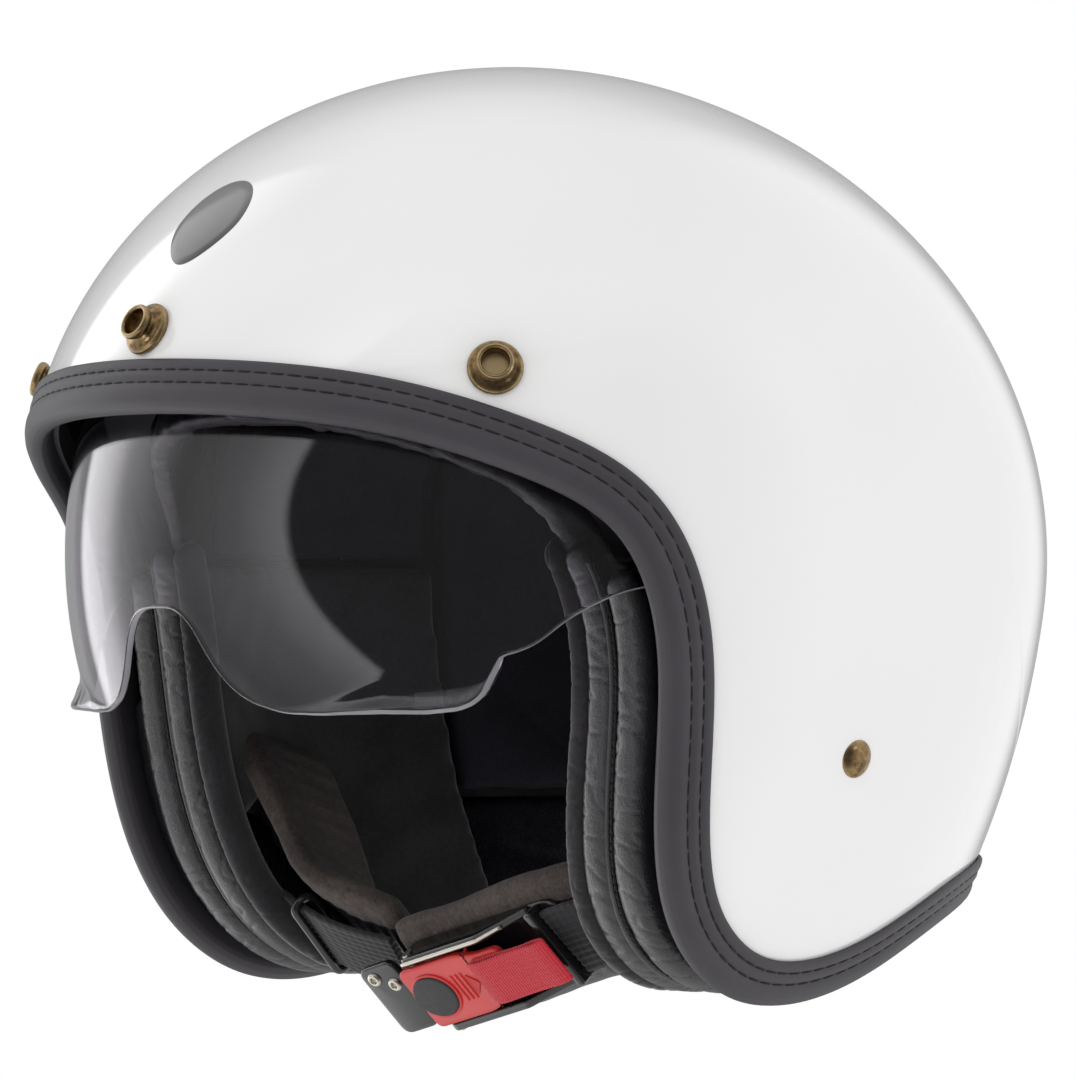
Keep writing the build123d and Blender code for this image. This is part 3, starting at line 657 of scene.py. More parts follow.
def strap_rivets():
    wall = half_width(*RIVET).item()
    outline = [(0.0, 1.75), (1.0, 1.72), (2.2, 1.5), (3.3, 1.1), (4.2, 0.6), (4.7, 0.15), (4.8, -0.2), (4.5, -0.7)]
    for name, side in (("left", 1), ("right", -1)):
        place = np.array([side * wall, *RIVET])
        made = lathe("strap_rivet_" + name, rounded(outline, 40), place, egg_normal(place)[0], BRASS, "helmet")
        if side == 1:
            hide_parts("strap_rivets")


def front_badge():
    """A plain oval print that lies on the shell."""
    low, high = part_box("front_badge")
    half_across = (high.x - low.x) / 2 / MM
    centre, normal = egg_place(0, BADGE_HEIGHT)
    up = np.cross(normal, [1, 0, 0])
    up *= np.sign(up[2])
    half_up = half_across * 1.28
    rings, count = 10, 96
    points = [centre]
    for k in range(1, rings + 1):
        for angle in np.linspace(0, 2 * pi, count, endpoint=False):
            taper = 1 - 0.28 * max(-sin(angle), 0)**1.5
            points.append(centre + np.array([1, 0, 0]) * cos(angle) * 12.0 * taper * k / rings
                          + up * sin(angle) * 14.5 * k / rings)
    points = np.array(points)
    normals = egg_normal(points)
    for _ in range(3):
        ye, ze, half_y, half_z = egg_axes(points[:, 1], points[:, 2], 0.0, SHELL)
        value = (points[:, 0] / SHELL.side)**2 + (ye / half_y)**2 + (ze / half_z)**2
        points = points / np.sqrt(value)[:, None]
    lift = np.r_[0.28, np.repeat([0.28] * (rings - 1) + [0.02], count)]
    points = points + egg_normal(points) * lift[:, None]
    points[0] = points[1:1 + count].mean(0)
    faces = [(0, 1 + j, 1 + (j + 1) % count) for j in range(count)] + grid_faces(rings, count, start=1)
    made = tidy(piece("badge", points, faces, BADGE, "helmet"))
    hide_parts("front_badge")


# ---------------------------------------------------------------- sun visor
# The lens's lower edge: x, height; its upper edge: x, degrees above the pivot; the lip's length along x.
LENS_BOTTOM = [
    (0, -17.0), (6, -17.6), (10.5, -20.5), (14.5, -26.5), (19.5, -34.5), (26, -40), (34, -42), (50, -38.5),
    (66, -33.5), (80, -29.3), (86, -26.5), (91, -21), (96, -15.8), (101, -12.2), (106, -11.2), (111, -10.5),
]
LENS_TOP = [(0, 23.2), (60, 23.0), (80, 22.0), (95, 19.0), (104, 17.5), (108, 19.0), (111, 30.0)]
LIP_LENGTH = [(0, 0), (30, 0), (40, 1.6), (50, 4.6), (63, 9.0), (70, 11.2), (76, 12.2), (78.5, 11.6), (80, 9.6),
              (80.8, 6.4), (81.4, 2.6), (81.8, 0), (111, 0)]
LIP_TURN = radians(50.0)


def lens_points(x, degrees, shrink):
    y0, z0 = VISOR_PIVOT
    radius = (VISOR_RADIUS - shrink) * np.sqrt(np.maximum(1 - (x / VISOR_SIDE)**2, 0))
    a = np.radians(degrees)
    return np.stack([x, y0 - radius * np.cos(a), z0 + radius * np.sin(a)], -1)


def visor_lens():
    x = np.concatenate([np.linspace(-111, -89, 23)[:-1], np.linspace(-89, -80, 28)[:-1], np.linspace(-80, 80, 261),
                        np.linspace(80, 89, 28)[1:], np.linspace(89, 111, 23)[1:]])
    width = np.abs(x)
    bottom_z = np.interp(width, *spline(LENS_BOTTOM, 800).T)
    radius = VISOR_RADIUS * np.sqrt(1 - (x / VISOR_SIDE)**2)
    bottom = np.degrees(np.arcsin(np.clip((bottom_z - VISOR_PIVOT[1]) / radius, -0.95, 0.95)))
    top = np.interp(width, *np.array(LENS_TOP).T)
    lip = np.interp(width, *np.array(LIP_LENGTH).T)
    kernel = np.ones(3) / 3
    lip = np.convolve(np.pad(lip, 1, "edge"), kernel, "valid")
    rows = []
    steps = 40
    for k in range(steps):
        t = k / (steps - 1)
        rows.append(lens_points(x, top + (bottom - top) * t, VISOR_WALL / 2))
    root = rows[-1]
    down = rows[-1] - rows[-2]
    down /= np.linalg.norm(down, axis=1)[:, None]
    out = root - np.array([0, *VISOR_PIVOT])
    out[:, 0] = 0
    out /= np.linalg.norm(out, axis=1)[:, None]
    turn_end = LIP_TURN * np.clip((width - 30) / 30, 0, 1)
    here = root.copy()
    lip_steps = 14
    for k in range(1, lip_steps + 1):
        angle = turn_end * min(1.0, k / (lip_steps * 0.8))
        heading = down * np.cos(angle)[:, None] + out * np.sin(angle)[:, None]
        here = here + heading * (lip / lip_steps)[:, None] + down * 0.02
        rows.append(here.copy())
    middle = np.array(rows)
    along_rows = np.gradient(middle, axis=0)
    along_x = np.gradient(middle, axis=1)
    normal = np.cross(along_x, along_rows)
    normal /= np.maximum(np.linalg.norm(normal, axis=2), 1e-9)[..., None]
    if np.sum(normal[10, len(x) // 2] * np.array([0, -1, 0])) < 0:
        normal = -normal
    half = VISOR_WALL / 2
    ring = []
    outer = [middle[k] + normal[k] * half for k in range(len(middle))]
    inner = [middle[k] - normal[k] * half for k in range(len(middle))]

    def rounding(k, sign, first, last):
        made = []
        end = along_rows[k] / np.maximum(np.linalg.norm(along_rows[k], axis=1), 1e-9)[:, None] * sign
        for a in np.linspace(first, last, 7)[1:-1]:
            made.append(middle[k] + normal[k] * half * cos(a) + end * half * sin(a))
        return made

    ring = outer + rounding(-1, 1, 0, pi) + inner[::-1] + rounding(0, -1, pi, 0)
    stack = np.array(ring).transpose(1, 0, 2)
    columns = stack.shape[1]
    faces = grid_faces(len(x), columns)
    faces.append(tuple(range(columns))[::-1])
    faces.append(tuple(range((len(x) - 1) * columns, len(x) * columns)))
    # The lens's lower rounded edge gets the painted-light edge finish.
    edge = np.zeros((len(x) - 1, columns), int)
    edge[:, len(outer):len(outer) + 3] = 1
    made = piece("visor", stack.reshape(-1, 3), faces, None, "sun_visor", slots=[LENS, LENS_EDGE],
                 indices=[*edge.ravel(), 0, 0])
    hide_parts("visor_lens")
    return tidy(made)


# ---------------------------------------------------------------- padded liner
def dress(node, finish):
    """Gives a CAD node that stays in view a finish."""
    made = frame["nodes"][node]
    for place in made.material_slots:
        place.material = finish
    if not made.material_slots:
        made.data.materials.append(finish)


def bake_modifiers(made):
    """Turns a piece's modifiers into its mesh."""
    graph = bpy.context.evaluated_depsgraph_get()
    mesh = bpy.data.meshes.new_from_object(made.evaluated_get(graph), depsgraph=graph)
    made.modifiers.clear()
    made.data = mesh


def vertices_of(mesh):
    points = np.empty(len(mesh.vertices) * 3)
    mesh.vertices.foreach_get("co", points)
    return points.reshape(-1, 3)


def put_vertices(mesh, points):
    mesh.vertices.foreach_set("co", np.ascontiguousarray(points, float).ravel())
    mesh.update()


def normals_of(mesh):
    normals = np.empty(len(mesh.vertices) * 3)
    mesh.vertex_normals.foreach_get("vector", normals)
    return normals.reshape(-1, 3)


def soften(mesh, rounds, strength=0.5):
    """Evens out a mesh by averaging each vertex with its neighbours."""
    edges = np.empty(len(mesh.edges) * 2, np.int32)
    mesh.edges.foreach_get("vertices", edges)
    a, b = edges.reshape(-1, 2).T
    points = vertices_of(mesh)
    degree = np.bincount(a, minlength=len(points)) + np.bincount(b, minlength=len(points))
    for i in range(rounds):
        total = np.stack([np.bincount(a, points[b, k], len(points)) + np.bincount(b, points[a, k], len(points))
                          for k in range(3)], -1)
        step = strength if i % 2 == 0 else -strength * 0.85
        points = points + (total / degree[:, None] - points) * step
    put_vertices(mesh, points)


def blow_up(made, pressure, cap):
    """Swells a piece with a short cloth simulation, and holds each vertex near its start."""
    rest = vertices_of(made.data)
    cloth_settings = made.modifiers.new("Cloth", "CLOTH")
    settings = cloth_settings.settings
    settings.quality = 4
    settings.mass = 0.2
    settings.use_pressure = True
    settings.uniform_pressure_force = pressure
    settings.effector_weights.gravity = 0.0
    settings.tension_stiffness = settings.compression_stiffness = 25.0
    settings.bending_stiffness = 2.0
    scene = bpy.context.scene
    for step in range(1, 15):
        scene.frame_set(step)
    bake_modifiers(made)
    scene.frame_set(1)
    moved = vertices_of(made.data) - rest
    size = np.linalg.norm(moved, axis=1)
    limit = cap * MM
    moved *= (limit * np.tanh(size / limit) / np.maximum(size, 1e-12))[:, None]
    put_vertices(made.data, rest + moved)


def soft_pad(name, node, finishes, voxel=2.6, shrink=0.8, cap=2.4, pressure=5.0, rounds=10, which=None,
             wrinkle=0.35, replaces=True):
    """A stuffed pad in the space that a CAD node holds."""
    made = bpy.data.objects.new(name, frame["nodes"][node].data.copy())
    bpy.context.scene.collection.objects.link(made)
    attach(made, "helmet")
    net = made.modifiers.new("Remesh", "REMESH")
    net.mode = "VOXEL"
    net.voxel_size = voxel * MM
    bake_modifiers(made)
    soften(made.data, rounds)
    put_vertices(made.data, vertices_of(made.data) - normals_of(made.data) * shrink * MM)
    blow_up(made, pressure, cap)
    soften(made.data, rounds)
    finer = made.modifiers.new("Subdivision", "SUBSURF")
    finer.levels = finer.render_levels = 1
    bake_modifiers(made)
    points, normals = vertices_of(made.data), normals_of(made.data)
    waves = np.array([noise.noise(Vector((p[0] * 60, p[1] * 60, p[2] * 110))) for p in points])
    folds = 1 - np.abs(np.array([noise.noise(Vector((p[0] * 42 + 7, p[1] * 42, p[2] * 30))) for p in points])) * 9
    put_vertices(made.data, points + normals * ((waves * 0.9 - np.clip(folds, 0, 1)) * wrinkle * MM)[:, None])
    made.data.materials.clear()
    for finish in finishes:
        made.data.materials.append(finish)
    if which is not None:
        centres = np.empty(len(made.data.polygons) * 3)
        made.data.polygons.foreach_get("center", centres)
        made.data.polygons.foreach_set("material_index", which(centres.reshape(-1, 3) / MM).astype(np.int32))
    made.data.polygons.foreach_set("use_smooth", [True] * len(made.data.polygons))
    made.data.update()
    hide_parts(node)
    return made


def depth_of(points):
    """How far points lie under the shell's outer surface, as a negative number."""
    low, high = np.full(len(points), -75.0), np.full(len(points), 10.0)
    for _ in range(26):
        middle = (low + high) / 2
        inside = np.abs(points[:, 0]) < half_width_each(points[:, 1], points[:, 2], middle)
        high = np.where(inside, middle, high)
        low = np.where(inside, low, middle)
    return (low + high) / 2


def half_width_each(y, z, grow):
    ye, ze, half_y, half_z = egg_axes(y, z, grow, SHELL)
    return (SHELL.side + grow) * np.sqrt(np.maximum(1 - (ye / half_y)**2 - (ze / half_z)**2, 0))


SUEDE_DEPTH = -34.0
SEAM_DEPTH = -24.0
SET_BACK = 5.4
# Each cheek's stuffed rolls: name, depth, half its breadth, half its thickness, and height of its top end.
ROLLS = [("lining", -36.3, 3.1, 4.6, -1.0), ("inner", -29.0, 5.2, 4.4, -2.0), ("outer", -18.5, 5.3, 4.2, -8.5)]
ROLL_FRONT = -0.6
CHEEK_TOP = -6.5
CHEEK_END = 24.0


def is_inner(points):
    return depth_of(points) < SUEDE_DEPTH


def front_line(inset, top, count):
    """Even places along the front and bottom of a cheek, just inside the shell's edge."""
    line = edge_line(inset, 900)
    return even(line[(line[:, 1] < top) & (line[:, 0] < CHEEK_END)], count)


def facing_out(line):
    """Unit directions in the side view that point out of the shell's edge."""
    along = np.gradient(line, axis=0)
    along /= np.linalg.norm(along, axis=1)[:, None]
    return np.column_stack([np.zeros(len(line)), along[:, 1], -along[:, 0]])


def set_back(made):
    """Moves the front of a cheek's pad back behind its rolls."""
    points = vertices_of(made.data) / MM
    edge = edge_line(0.0, 500)
    out = facing_out(edge)[:, 1:]
    nearest = np.array([np.argmin(np.sum((edge - p)**2, 1)) for p in points[:, 1:]])
    inset = -np.sum((points[:, 1:] - edge[nearest]) * out[nearest], 1)
    points[:, 1:] -= out[nearest] * np.maximum(SET_BACK - inset, 0)[:, None]
    put_vertices(made.data, points * MM)


def cheeks():
    for side in ("left", "right"):
        made = soft_pad("cheek_pad_" + side, "cheek_pad_" + side, [BAND, SUEDE], cap=3.0, shrink=0.6,
                        which=is_inner, wrinkle=0.12)
        set_back(made)
        made = soft_pad("cheek_core_" + side, "cheek_core_" + side, [BAND], cap=2.2, shrink=0.4,
                        wrinkle=0.12)
        set_back(made)


def cheek_roll(name, sign, depth, half, thick, top, finish):
    """A stuffed leather roll with slow swells and small creases across it."""
    line = front_line(thick + ROLL_FRONT, top, 300)
    path = np.column_stack([sign * half_width_each(line[:, 0], line[:, 1], depth), line])
    along, up, across = frames_of(path, facing_out(line), closed=False)
    angles = np.linspace(0, 2 * pi, 56, endpoint=False)
    wide = np.sign(np.cos(angles)) * np.abs(np.cos(angles))**0.85 * half
    deep = np.sign(np.sin(angles)) * np.abs(np.sin(angles))**0.9 * thick
    profiles = []
    for i, place in enumerate(path):
        end = min(i, len(path) - 1 - i) / 9.0
        full = sqrt(max(1 - max(1 - end, 0)**2, 0.0))
        swell = 1 + 0.05 * noise.noise(Vector(place * 0.045))
        crease = []
        for a in angles:
            spot = Vector(place) * 0.22 + Vector((cos(a), sin(a), 0.0)) * 0.5
            crease.append(max(0.0, 1 - abs(noise.noise(spot)) * 7) * max(sin(a), 0.0))
        reach = (swell - 0.07 * np.array(crease)) * max(full, 0.04)
        profiles.append(np.column_stack([wide * reach, deep * reach]))
    points, faces = sweep(path, across, up, np.array(profiles), closed=False)
    made = tidy(piece(name, points, faces, finish, "helmet"))


def cheek_rolls():
    """The two rolls of each cheek, with piping and a row of stitches where they meet."""
    for name, sign in (("left", 1), ("right", -1)):
        for part, depth, half, thick, top in ROLLS:
            finish = SUEDE if part == "lining" else ROLL
            cheek_roll("cheek_roll_" + part + "_" + name, sign, depth, half, thick, top, finish)
        line = front_line(1.3, CHEEK_TOP, 260)
        path = np.column_stack([sign * half_width_each(line[:, 0], line[:, 1], SEAM_DEPTH), line])
        along, up, across = frames_of(path, egg_normal(path), closed=False)
        ring = [(cos(a) * 0.95, sin(a) * 0.95) for a in np.linspace(0, 2 * pi, 12, endpoint=False)]
        points, faces = sweep(path, across, up, ring, closed=False)
        tidy(piece("cheek_piping_" + name, points, faces, ROLL, "helmet"))
        line = front_line(0.9, CHEEK_TOP, 75)
        path = np.column_stack([sign * half_width_each(line[:, 0], line[:, 1], SEAM_DEPTH + 1.7), line])
        along, up, across = frames_of(path, facing_out(line), closed=False)
        points, faces = stitches(path, along, up, 2.2, 0.3)
        tidy(piece("cheek_stitches_" + name, points, faces, THREAD, "helmet"))


def lining():
    soft_pad("brow_pad", "brow_pad", [BAND], voxel=2.2, shrink=0.6, cap=1.6, wrinkle=0.6)
    soft_pad("nape_pad", "nape_pad", [MESH_CLOTH], voxel=3.0, shrink=0.7, cap=1.8)
    for part in ("middle", "left", "right"):
        soft_pad("crown_pad_" + part, "crown_pad_" + part, [MESH_CLOTH], voxel=3.2, shrink=0.7, cap=1.8)
    for side in ("left", "right"):
        soft_pad("temple_pad_" + side, "temple_pad_" + side, [MESH_CLOTH], voxel=2.6, shrink=0.7, cap=1.8)
    soft_pad("neck_roll", "neck_roll", [VINYL], voxel=3.0, shrink=0.8, cap=3.0, wrinkle=0.5)


# ---------------------------------------------------------------- chin strap
BUCKLE_ORIGIN = np.array([-2.0, -29.0, -112.0])
BUCKLE_U = np.array([0.9717, 0.0, 0.2365]) / np.linalg.norm([0.9717, 0.0, 0.2365])
FACING = np.array([0, -0.766, -0.643])
BUCKLE_N = FACING - BUCKLE_U * FACING.dot(BUCKLE_U)
BUCKLE_N /= np.linalg.norm(BUCKLE_N)
BUCKLE_W = np.cross(BUCKLE_N, BUCKLE_U)


def at_buckle(u, w=0.0, n=0.0):
    """A place in the buckle's own frame: along it, across it and out of its face."""
    return BUCKLE_ORIGIN + BUCKLE_U * u + BUCKLE_W * w + BUCKLE_N * n


LEFT_PATH = [
    ((101.7, 3, -64), (0, -1, 0)), ((100.8, 1, -80), (0, -0.98, 0.2)), ((91, -10, -91.5), (-0.1, -0.86, 0.5)),
    ((72, -21, -95.5), (-0.16, -0.72, 0.68)), (at_buckle(60), BUCKLE_W), (at_buckle(51), BUCKLE_W),
]
COVER_LEFT = [
    ((84, -15, -93.5), (-0.13, -0.79, 0.6)), ((72, -21, -95.5), (-0.16, -0.72, 0.68)),
    (at_buckle(60), BUCKLE_W), (at_buckle(26), BUCKLE_W), (at_buckle(-8), BUCKLE_W),
]
RIGHT_PATH = [
    ((-19, -25, -108.5), (0, -0.68, 0.73)), ((-44, -26.5, -103.5), (0.1, -0.7, 0.7)),
    ((-72, -21, -95.5), (0.16, -0.72, 0.68)), ((-91, -10, -91.5), (0.1, -0.86, 0.5)),
    ((-100.8, 1, -80), (0, -0.98, 0.2)), ((-101.7, 3, -64), (0, -1, 0)),
]
COVER_RIGHT = [
    ((-19, -26, -108), (0, -0.68, 0.73)), ((-36, -26, -103), (0.1, -0.77, 0.6)),
    ((-52, -26, -94), (0.25, -0.9, 0.32)), ((-63, -24, -82), (0.34, -0.93, 0.08)),
    ((-74, -22, -69), (0.35, -0.93, 0.0)), ((-85, -20, -58), (0.35, -0.93, 0.0)),
]


RING_INWARD = -1.2
RING_HALF = (12.0, 2.9)


def strap_line(path, count):
    """Even places along a strap, with its directions: along, out of its face, and across."""
    both = spline([(*p, *c) for p, c in path], 400)
    places = both[:, :3]
    steps = np.concatenate([[0], np.cumsum(np.linalg.norm(np.diff(places, axis=0), axis=1))])
    stations = np.linspace(0, steps[-1], count)
    both = np.stack([np.interp(stations, steps, both[:, k]) for k in range(6)], -1)
    places, across = both[:, :3], both[:, 3:]
    along = np.gradient(places, axis=0)
    along /= np.linalg.norm(along, axis=1)[:, None]
    across = across - along * np.sum(across * along, 1)[:, None]
    across /= np.linalg.norm(across, axis=1)[:, None]
    return places, along, np.cross(across, along), across


def webbing(name, path, node):
    """Ribbed webbing: fine ribs run along it, and small ones across it."""
    places, along, out, across = strap_line(path, 150)
    profile = []
    half, low, high = 9.9, 0.3, 2.1
    spread = np.linspace(-half, half, 91)
    ribs = 0.16 * np.cos(spread / half * pi * 11)
    profile = [(w, high + r) for w, r in zip(spread, ribs)]
    profile += [(half + 0.1, (low + high) / 2)]
    profile += [(w, low - r) for w, r in zip(spread[::-1], ribs[::-1])]
    profile += [(-half - 0.1, (low + high) / 2)]
    points, faces = sweep(places, across, out, profile, closed=False)
    made = tidy(piece(name, points, faces, WEBBING, "chin_strap"))
    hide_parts(node)


def strap_cover(name, path, node, lining_finish):
    """A soft sleeve: fleece towards the chin, glossy outside, with a full rounded edge."""
    places, along, out, across = strap_line(path, 170)
    count = 72
    angles = np.linspace(0, 2 * pi, count, endpoint=False)
    half, middle, thick = 16.8, -5.6, 3.8
    profiles = []
    for i, p in enumerate(places):
        end = min(i, len(places) - 1 - i) / 7.0
        round_off = sqrt(max(1 - max(1 - end, 0)**2, 0.0)) if end < 1 else 1.0
        wave = 0.35 * sin(i * 0.55) + 0.25 * sin(i * 0.23 + 1.0)
        w = np.sign(np.cos(angles)) * np.abs(np.cos(angles))**0.45 * half
        n = np.sign(np.sin(angles)) * np.abs(np.sin(angles))**0.75 * thick
        n = n + np.where(np.abs(w) > half * 0.72, np.sign(n) * 0.25, 0) + wave * (1 - (w / half)**2) * 0.6
        w = w * (0.94 + 0.06 * round_off)
        profiles.append(np.column_stack([w, middle + n * max(round_off, 0.05)]))
    points, faces = sweep(places, across, out, np.array(profiles), closed=False)
    middles = angles + pi / count
    vinyl = ((np.sin(middles) > 0.2) & (np.cos(middles) < 0.3)).astype(int)
    indices = [*np.tile(vinyl, len(places) - 1), 0, 0]
    made = tidy(piece(name, points, faces, None, "chin_strap", slots=[FLEECE, VINYL], indices=indices))
    finer = made.modifiers.new("Subdivision", "SUBSURF")
    finer.levels = finer.render_levels = 1
    bake_modifiers(made)
    shag = vertices_of(made.data)
    normals = normals_of(made.data)
    lumps = np.array([noise.noise(Vector(p * 55)) * 0.5 + noise.noise(Vector(p * 140)) * 0.2 for p in shag])
    put_vertices(made.data, shag + normals * (lumps * MM)[:, None])
    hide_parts(node)
    return made


def wire(name, path, radius, finish, body, closed=False, sides=12):
    """Round wire along a line of places."""
    path = np.array(path, float)
    if closed:
        along = np.roll(path, -1, 0) - np.roll(path, 1, 0)
    else:
        along = np.gradient(path, axis=0)
    along /= np.linalg.norm(along, axis=1)[:, None]
    up = np.zeros_like(path)
    reference = BUCKLE_N - along[0] * along[0].dot(BUCKLE_N)
    for i in range(len(path)):
        reference = reference - along[i] * along[i].dot(reference)
        reference = reference / np.linalg.norm(reference)
        up[i] = reference
    side = np.cross(up, along)
    ring = [(cos(a) * radius, sin(a) * radius) for a in np.linspace(0, 2 * pi, sides, endpoint=False)]
    points, faces = sweep(path, side, up, ring, closed=closed)
    return tidy(piece(name, points, faces, finish, body), 0.001)


def strap_ring():
    """A wire loop with rounded corners, round the right strap."""
    (first, turned), (second, across) = RIGHT_PATH[1], RIGHT_PATH[2]
    first, second = np.array(first, float), np.array(second, float)
    place = second * 0.3 + first * 0.7
    along = (second - first) / np.linalg.norm(second - first)
    across = np.array(across, float)
    across = across - along * across.dot(along)
    across /= np.linalg.norm(across)
    inward = np.cross(along, across)
    middle = place + inward * RING_INWARD
    wide, deep = RING_HALF
    corners = outline_of([(-wide, -deep), (wide, -deep), (wide, deep), (-wide, deep)], 2.4, 12)
    path = even([middle + across * a + inward * b for a, b in corners], 160, closed=True)
    made = wire("strap_ring", path, 1.2, BLACK_GLOSS, "chin_strap", closed=True)
    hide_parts("strap_ring")


def straps():
    strap_ring()
    webbing("webbing_left", LEFT_PATH, "strap_webbing_left")
    webbing("webbing_right", RIGHT_PATH, "strap_webbing_right")
    strap_cover("strap_cover_left", COVER_LEFT, "strap_cover_left", FLEECE)
    strap_cover("strap_cover_right", COVER_RIGHT, "strap_cover_right", FLEECE)


# ---------------------------------------------------------------- buckle
def rounded_box(name, low, high, radius, finish, body, segments=4, shape=None):
    """A block in the buckle's frame with rolled edges."""
    bm = bmesh.new()
    bmesh.ops.create_cube(bm, size=1.0)
    low, high = np.array(low, float), np.array(high, float)
    for v in bm.verts:
        v.co = Vector((np.array(v.co) + 0.5) * (high - low) + low)
    bmesh.ops.subdivide_edges(bm, edges=bm.edges, cuts=1, use_grid_fill=True)
    bmesh.ops.bevel(bm, geom=[e for e in bm.edges if e.calc_face_angle(0) > 0.5], offset=radius, segments=segments,
                    profile=0.5, affect="EDGES", clamp_overlap=True)
    for v in bm.verts:
        u, w, n = v.co
        if shape:
            u, w, n = shape(u, w, n)
        v.co = Vector(at_buckle(u, w, n) * MM)
    bmesh.ops.recalc_face_normals(bm, faces=bm.faces)
    mesh = bpy.data.meshes.new(name)
    bm.to_mesh(mesh)
    bm.free()
    mesh.materials.append(finish)
    mesh.polygons.foreach_set("use_smooth", [True] * len(mesh.polygons))
    made = bpy.data.objects.new(name, mesh)
    bpy.context.scene.collection.objects.link(made)
    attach(made, body)
    return made


def flat_ring(outline, levels, name, finish, body):
    """A plate from an outline in (u, w), stacked through (inset, n) levels with closed top and bottom."""
    outline = np.array(outline, float)
    centre = outline.mean(0)
    along = np.roll(outline, -1, 0) - np.roll(outline, 1, 0)
    inward = np.column_stack([-along[:, 1], along[:, 0]])
    inward /= np.linalg.norm(inward, axis=1)[:, None]
    if np.sum((centre - outline) * inward) < 0:
        inward = -inward
    points = []
    for inset, n in levels:
        ring = outline + inward * inset
        points += [at_buckle(u, w, n) for u, w in ring]
    count = len(outline)
    faces = grid_faces(len(levels), count)
    faces.append(tuple(range(count))[::-1])
    faces.append(tuple(range((len(levels) - 1) * count, len(levels) * count)))
    return tidy(piece(name, points, faces, finish, body), 0.001)


def outline_of(corners, radius, count=10):
    """A closed outline with rounded corners, from (u, w) corners given in order."""
    corners = [np.array(c, float) for c in corners]
    points = []
    for i, corner in enumerate(corners):
        before, after = corners[i - 1], corners[(i + 1) % len(corners)]
        a = (before - corner) / np.linalg.norm(before - corner)
        b = (after - corner) / np.linalg.norm(after - corner)
        size = radius[i] if isinstance(radius, (list, tuple)) else radius
        for t in np.linspace(0, 1, count):
            points.append(corner + a * size * (1 - t)**2 + b * size * t**2)
    return points


def rounding_levels(low, high, radius, steps=4):
    """(inset, n) pairs of a plate between two heights with rounded rims."""
    turns = np.linspace(0, pi / 2, steps + 1)
    lower = [(radius * (1 - sin(t)), low + radius * (1 - cos(t))) for t in turns]
    upper = [(radius * (1 - cos(t)), high - radius * (1 - sin(t))) for t in turns]
    return lower + upper


def buckle():
    half = 12.0
    base = outline_of([(0, -half), (56, -half), (56, half), (0, half)], [1.2, 6, 6, 1.2])
    made = flat_ring(base, rounding_levels(-1.4, 0.0, 0.5), "buckle_base", BLACK_GLOSS, "chin_strap")
    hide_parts("buckle_housing")
    for name, side in (("upper", 1), ("lower", -1)):
        wall = [(0.1, 1.2), (32, 1.2), (40, 0.4), (46, 0.2)]
        points, rows = [], []
        stations = np.linspace(0.0, 46.0, 60)
        for u in stations:
            height = np.interp(u, [0, 1.2, 30, 40, 46], [6.2, 7.0, 7.0, 3.2, 1.2])
            outer, inner = side * half, side * 9.65
            r = 0.55
            profile = [(inner, -0.4), (inner, height - r), (inner + side * r * 0.3, height - r * 0.3),
                       (inner + side * r, height), (outer - side * r, height), (outer - side * r * 0.3, height - r * 0.3),
                       (outer, height - r), (outer, -0.4)]
            points += [at_buckle(u, w, n) for w, n in profile]
        faces = grid_faces(len(stations), 8)
        faces.append(tuple(range(8))[::-1])
        faces.append(tuple(range((len(stations) - 1) * 8, len(stations) * 8)))
        tidy(piece("buckle_wall_" + name, points, faces, BLACK_GLOSS, "chin_strap"))
    # A bright rolled edge runs along the upper wall.
    edge = [at_buckle(u, half - 1.1, 7.25) for u in np.linspace(0.8, 30.5, 40)]
    edge += [at_buckle(u, half - 1.1, np.interp(u, [30.5, 40], [7.2, 3.4])) for u in np.linspace(31.5, 38, 8)]
    wire("buckle_bright_edge", edge, 0.55, PALE_STEEL, "chin_strap")
    rounded_box("buckle_bar", (47, -half + 0.1, 0.0), (50, half - 0.1, 4.6), 1.0, BLACK_GLOSS, "chin_strap")


def lever():
    """The release lever: a broad plate with a waist, raised ribs and an arrow, and a rubber button in a raised frame.
    """
    outline = outline_of([(-3, -9.3), (20, -9.3), (25, -7.6), (35, -7.6), (35, 7.6), (25, 7.6), (20, 9.3), (-3, 9.3)],
                         [2.6, 3, 3, 2.4, 2.4, 3, 3, 2.6])
    made = flat_ring(outline, rounding_levels(5.4, 7.8, 0.7), "lever_plate", RED, "buckle_lever")
    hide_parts("release_lever")
    for i, u in enumerate((13.6, 15.4, 17.2)):
        rounded_box("lever_rib_%d" % i, (u, -4.2, 7.5), (u + 0.8, 4.2, 8.15), 0.3, RED, "buckle_lever", 3)
    arrow = outline_of([(18.9, -3.4), (22.4, 0.0), (18.9, 3.4)], 0.7, 6)
    flat_ring(arrow, rounding_levels(7.5, 8.2, 0.25, 3), "lever_arrow", RED, "buckle_lever")
    oval = [(5 + 7 * cos(a) * (1.0 if cos(a) > 0 else 1.05), 6.1 * sin(a)) for a in np.linspace(0, 2 * pi, 64, endpoint=False)]
    made = flat_ring(oval, rounding_levels(7.6, 8.75, 0.5), "lever_button", RUBBER, "buckle_lever")
    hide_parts("lever_button")
    rim = [at_buckle(5 + 7.35 * cos(a), 6.45 * sin(a), 7.95) for a in np.linspace(0, 2 * pi, 72, endpoint=False)]
    wire("lever_button_rim", rim, 0.42, RED, "buckle_lever", closed=True, sides=8)


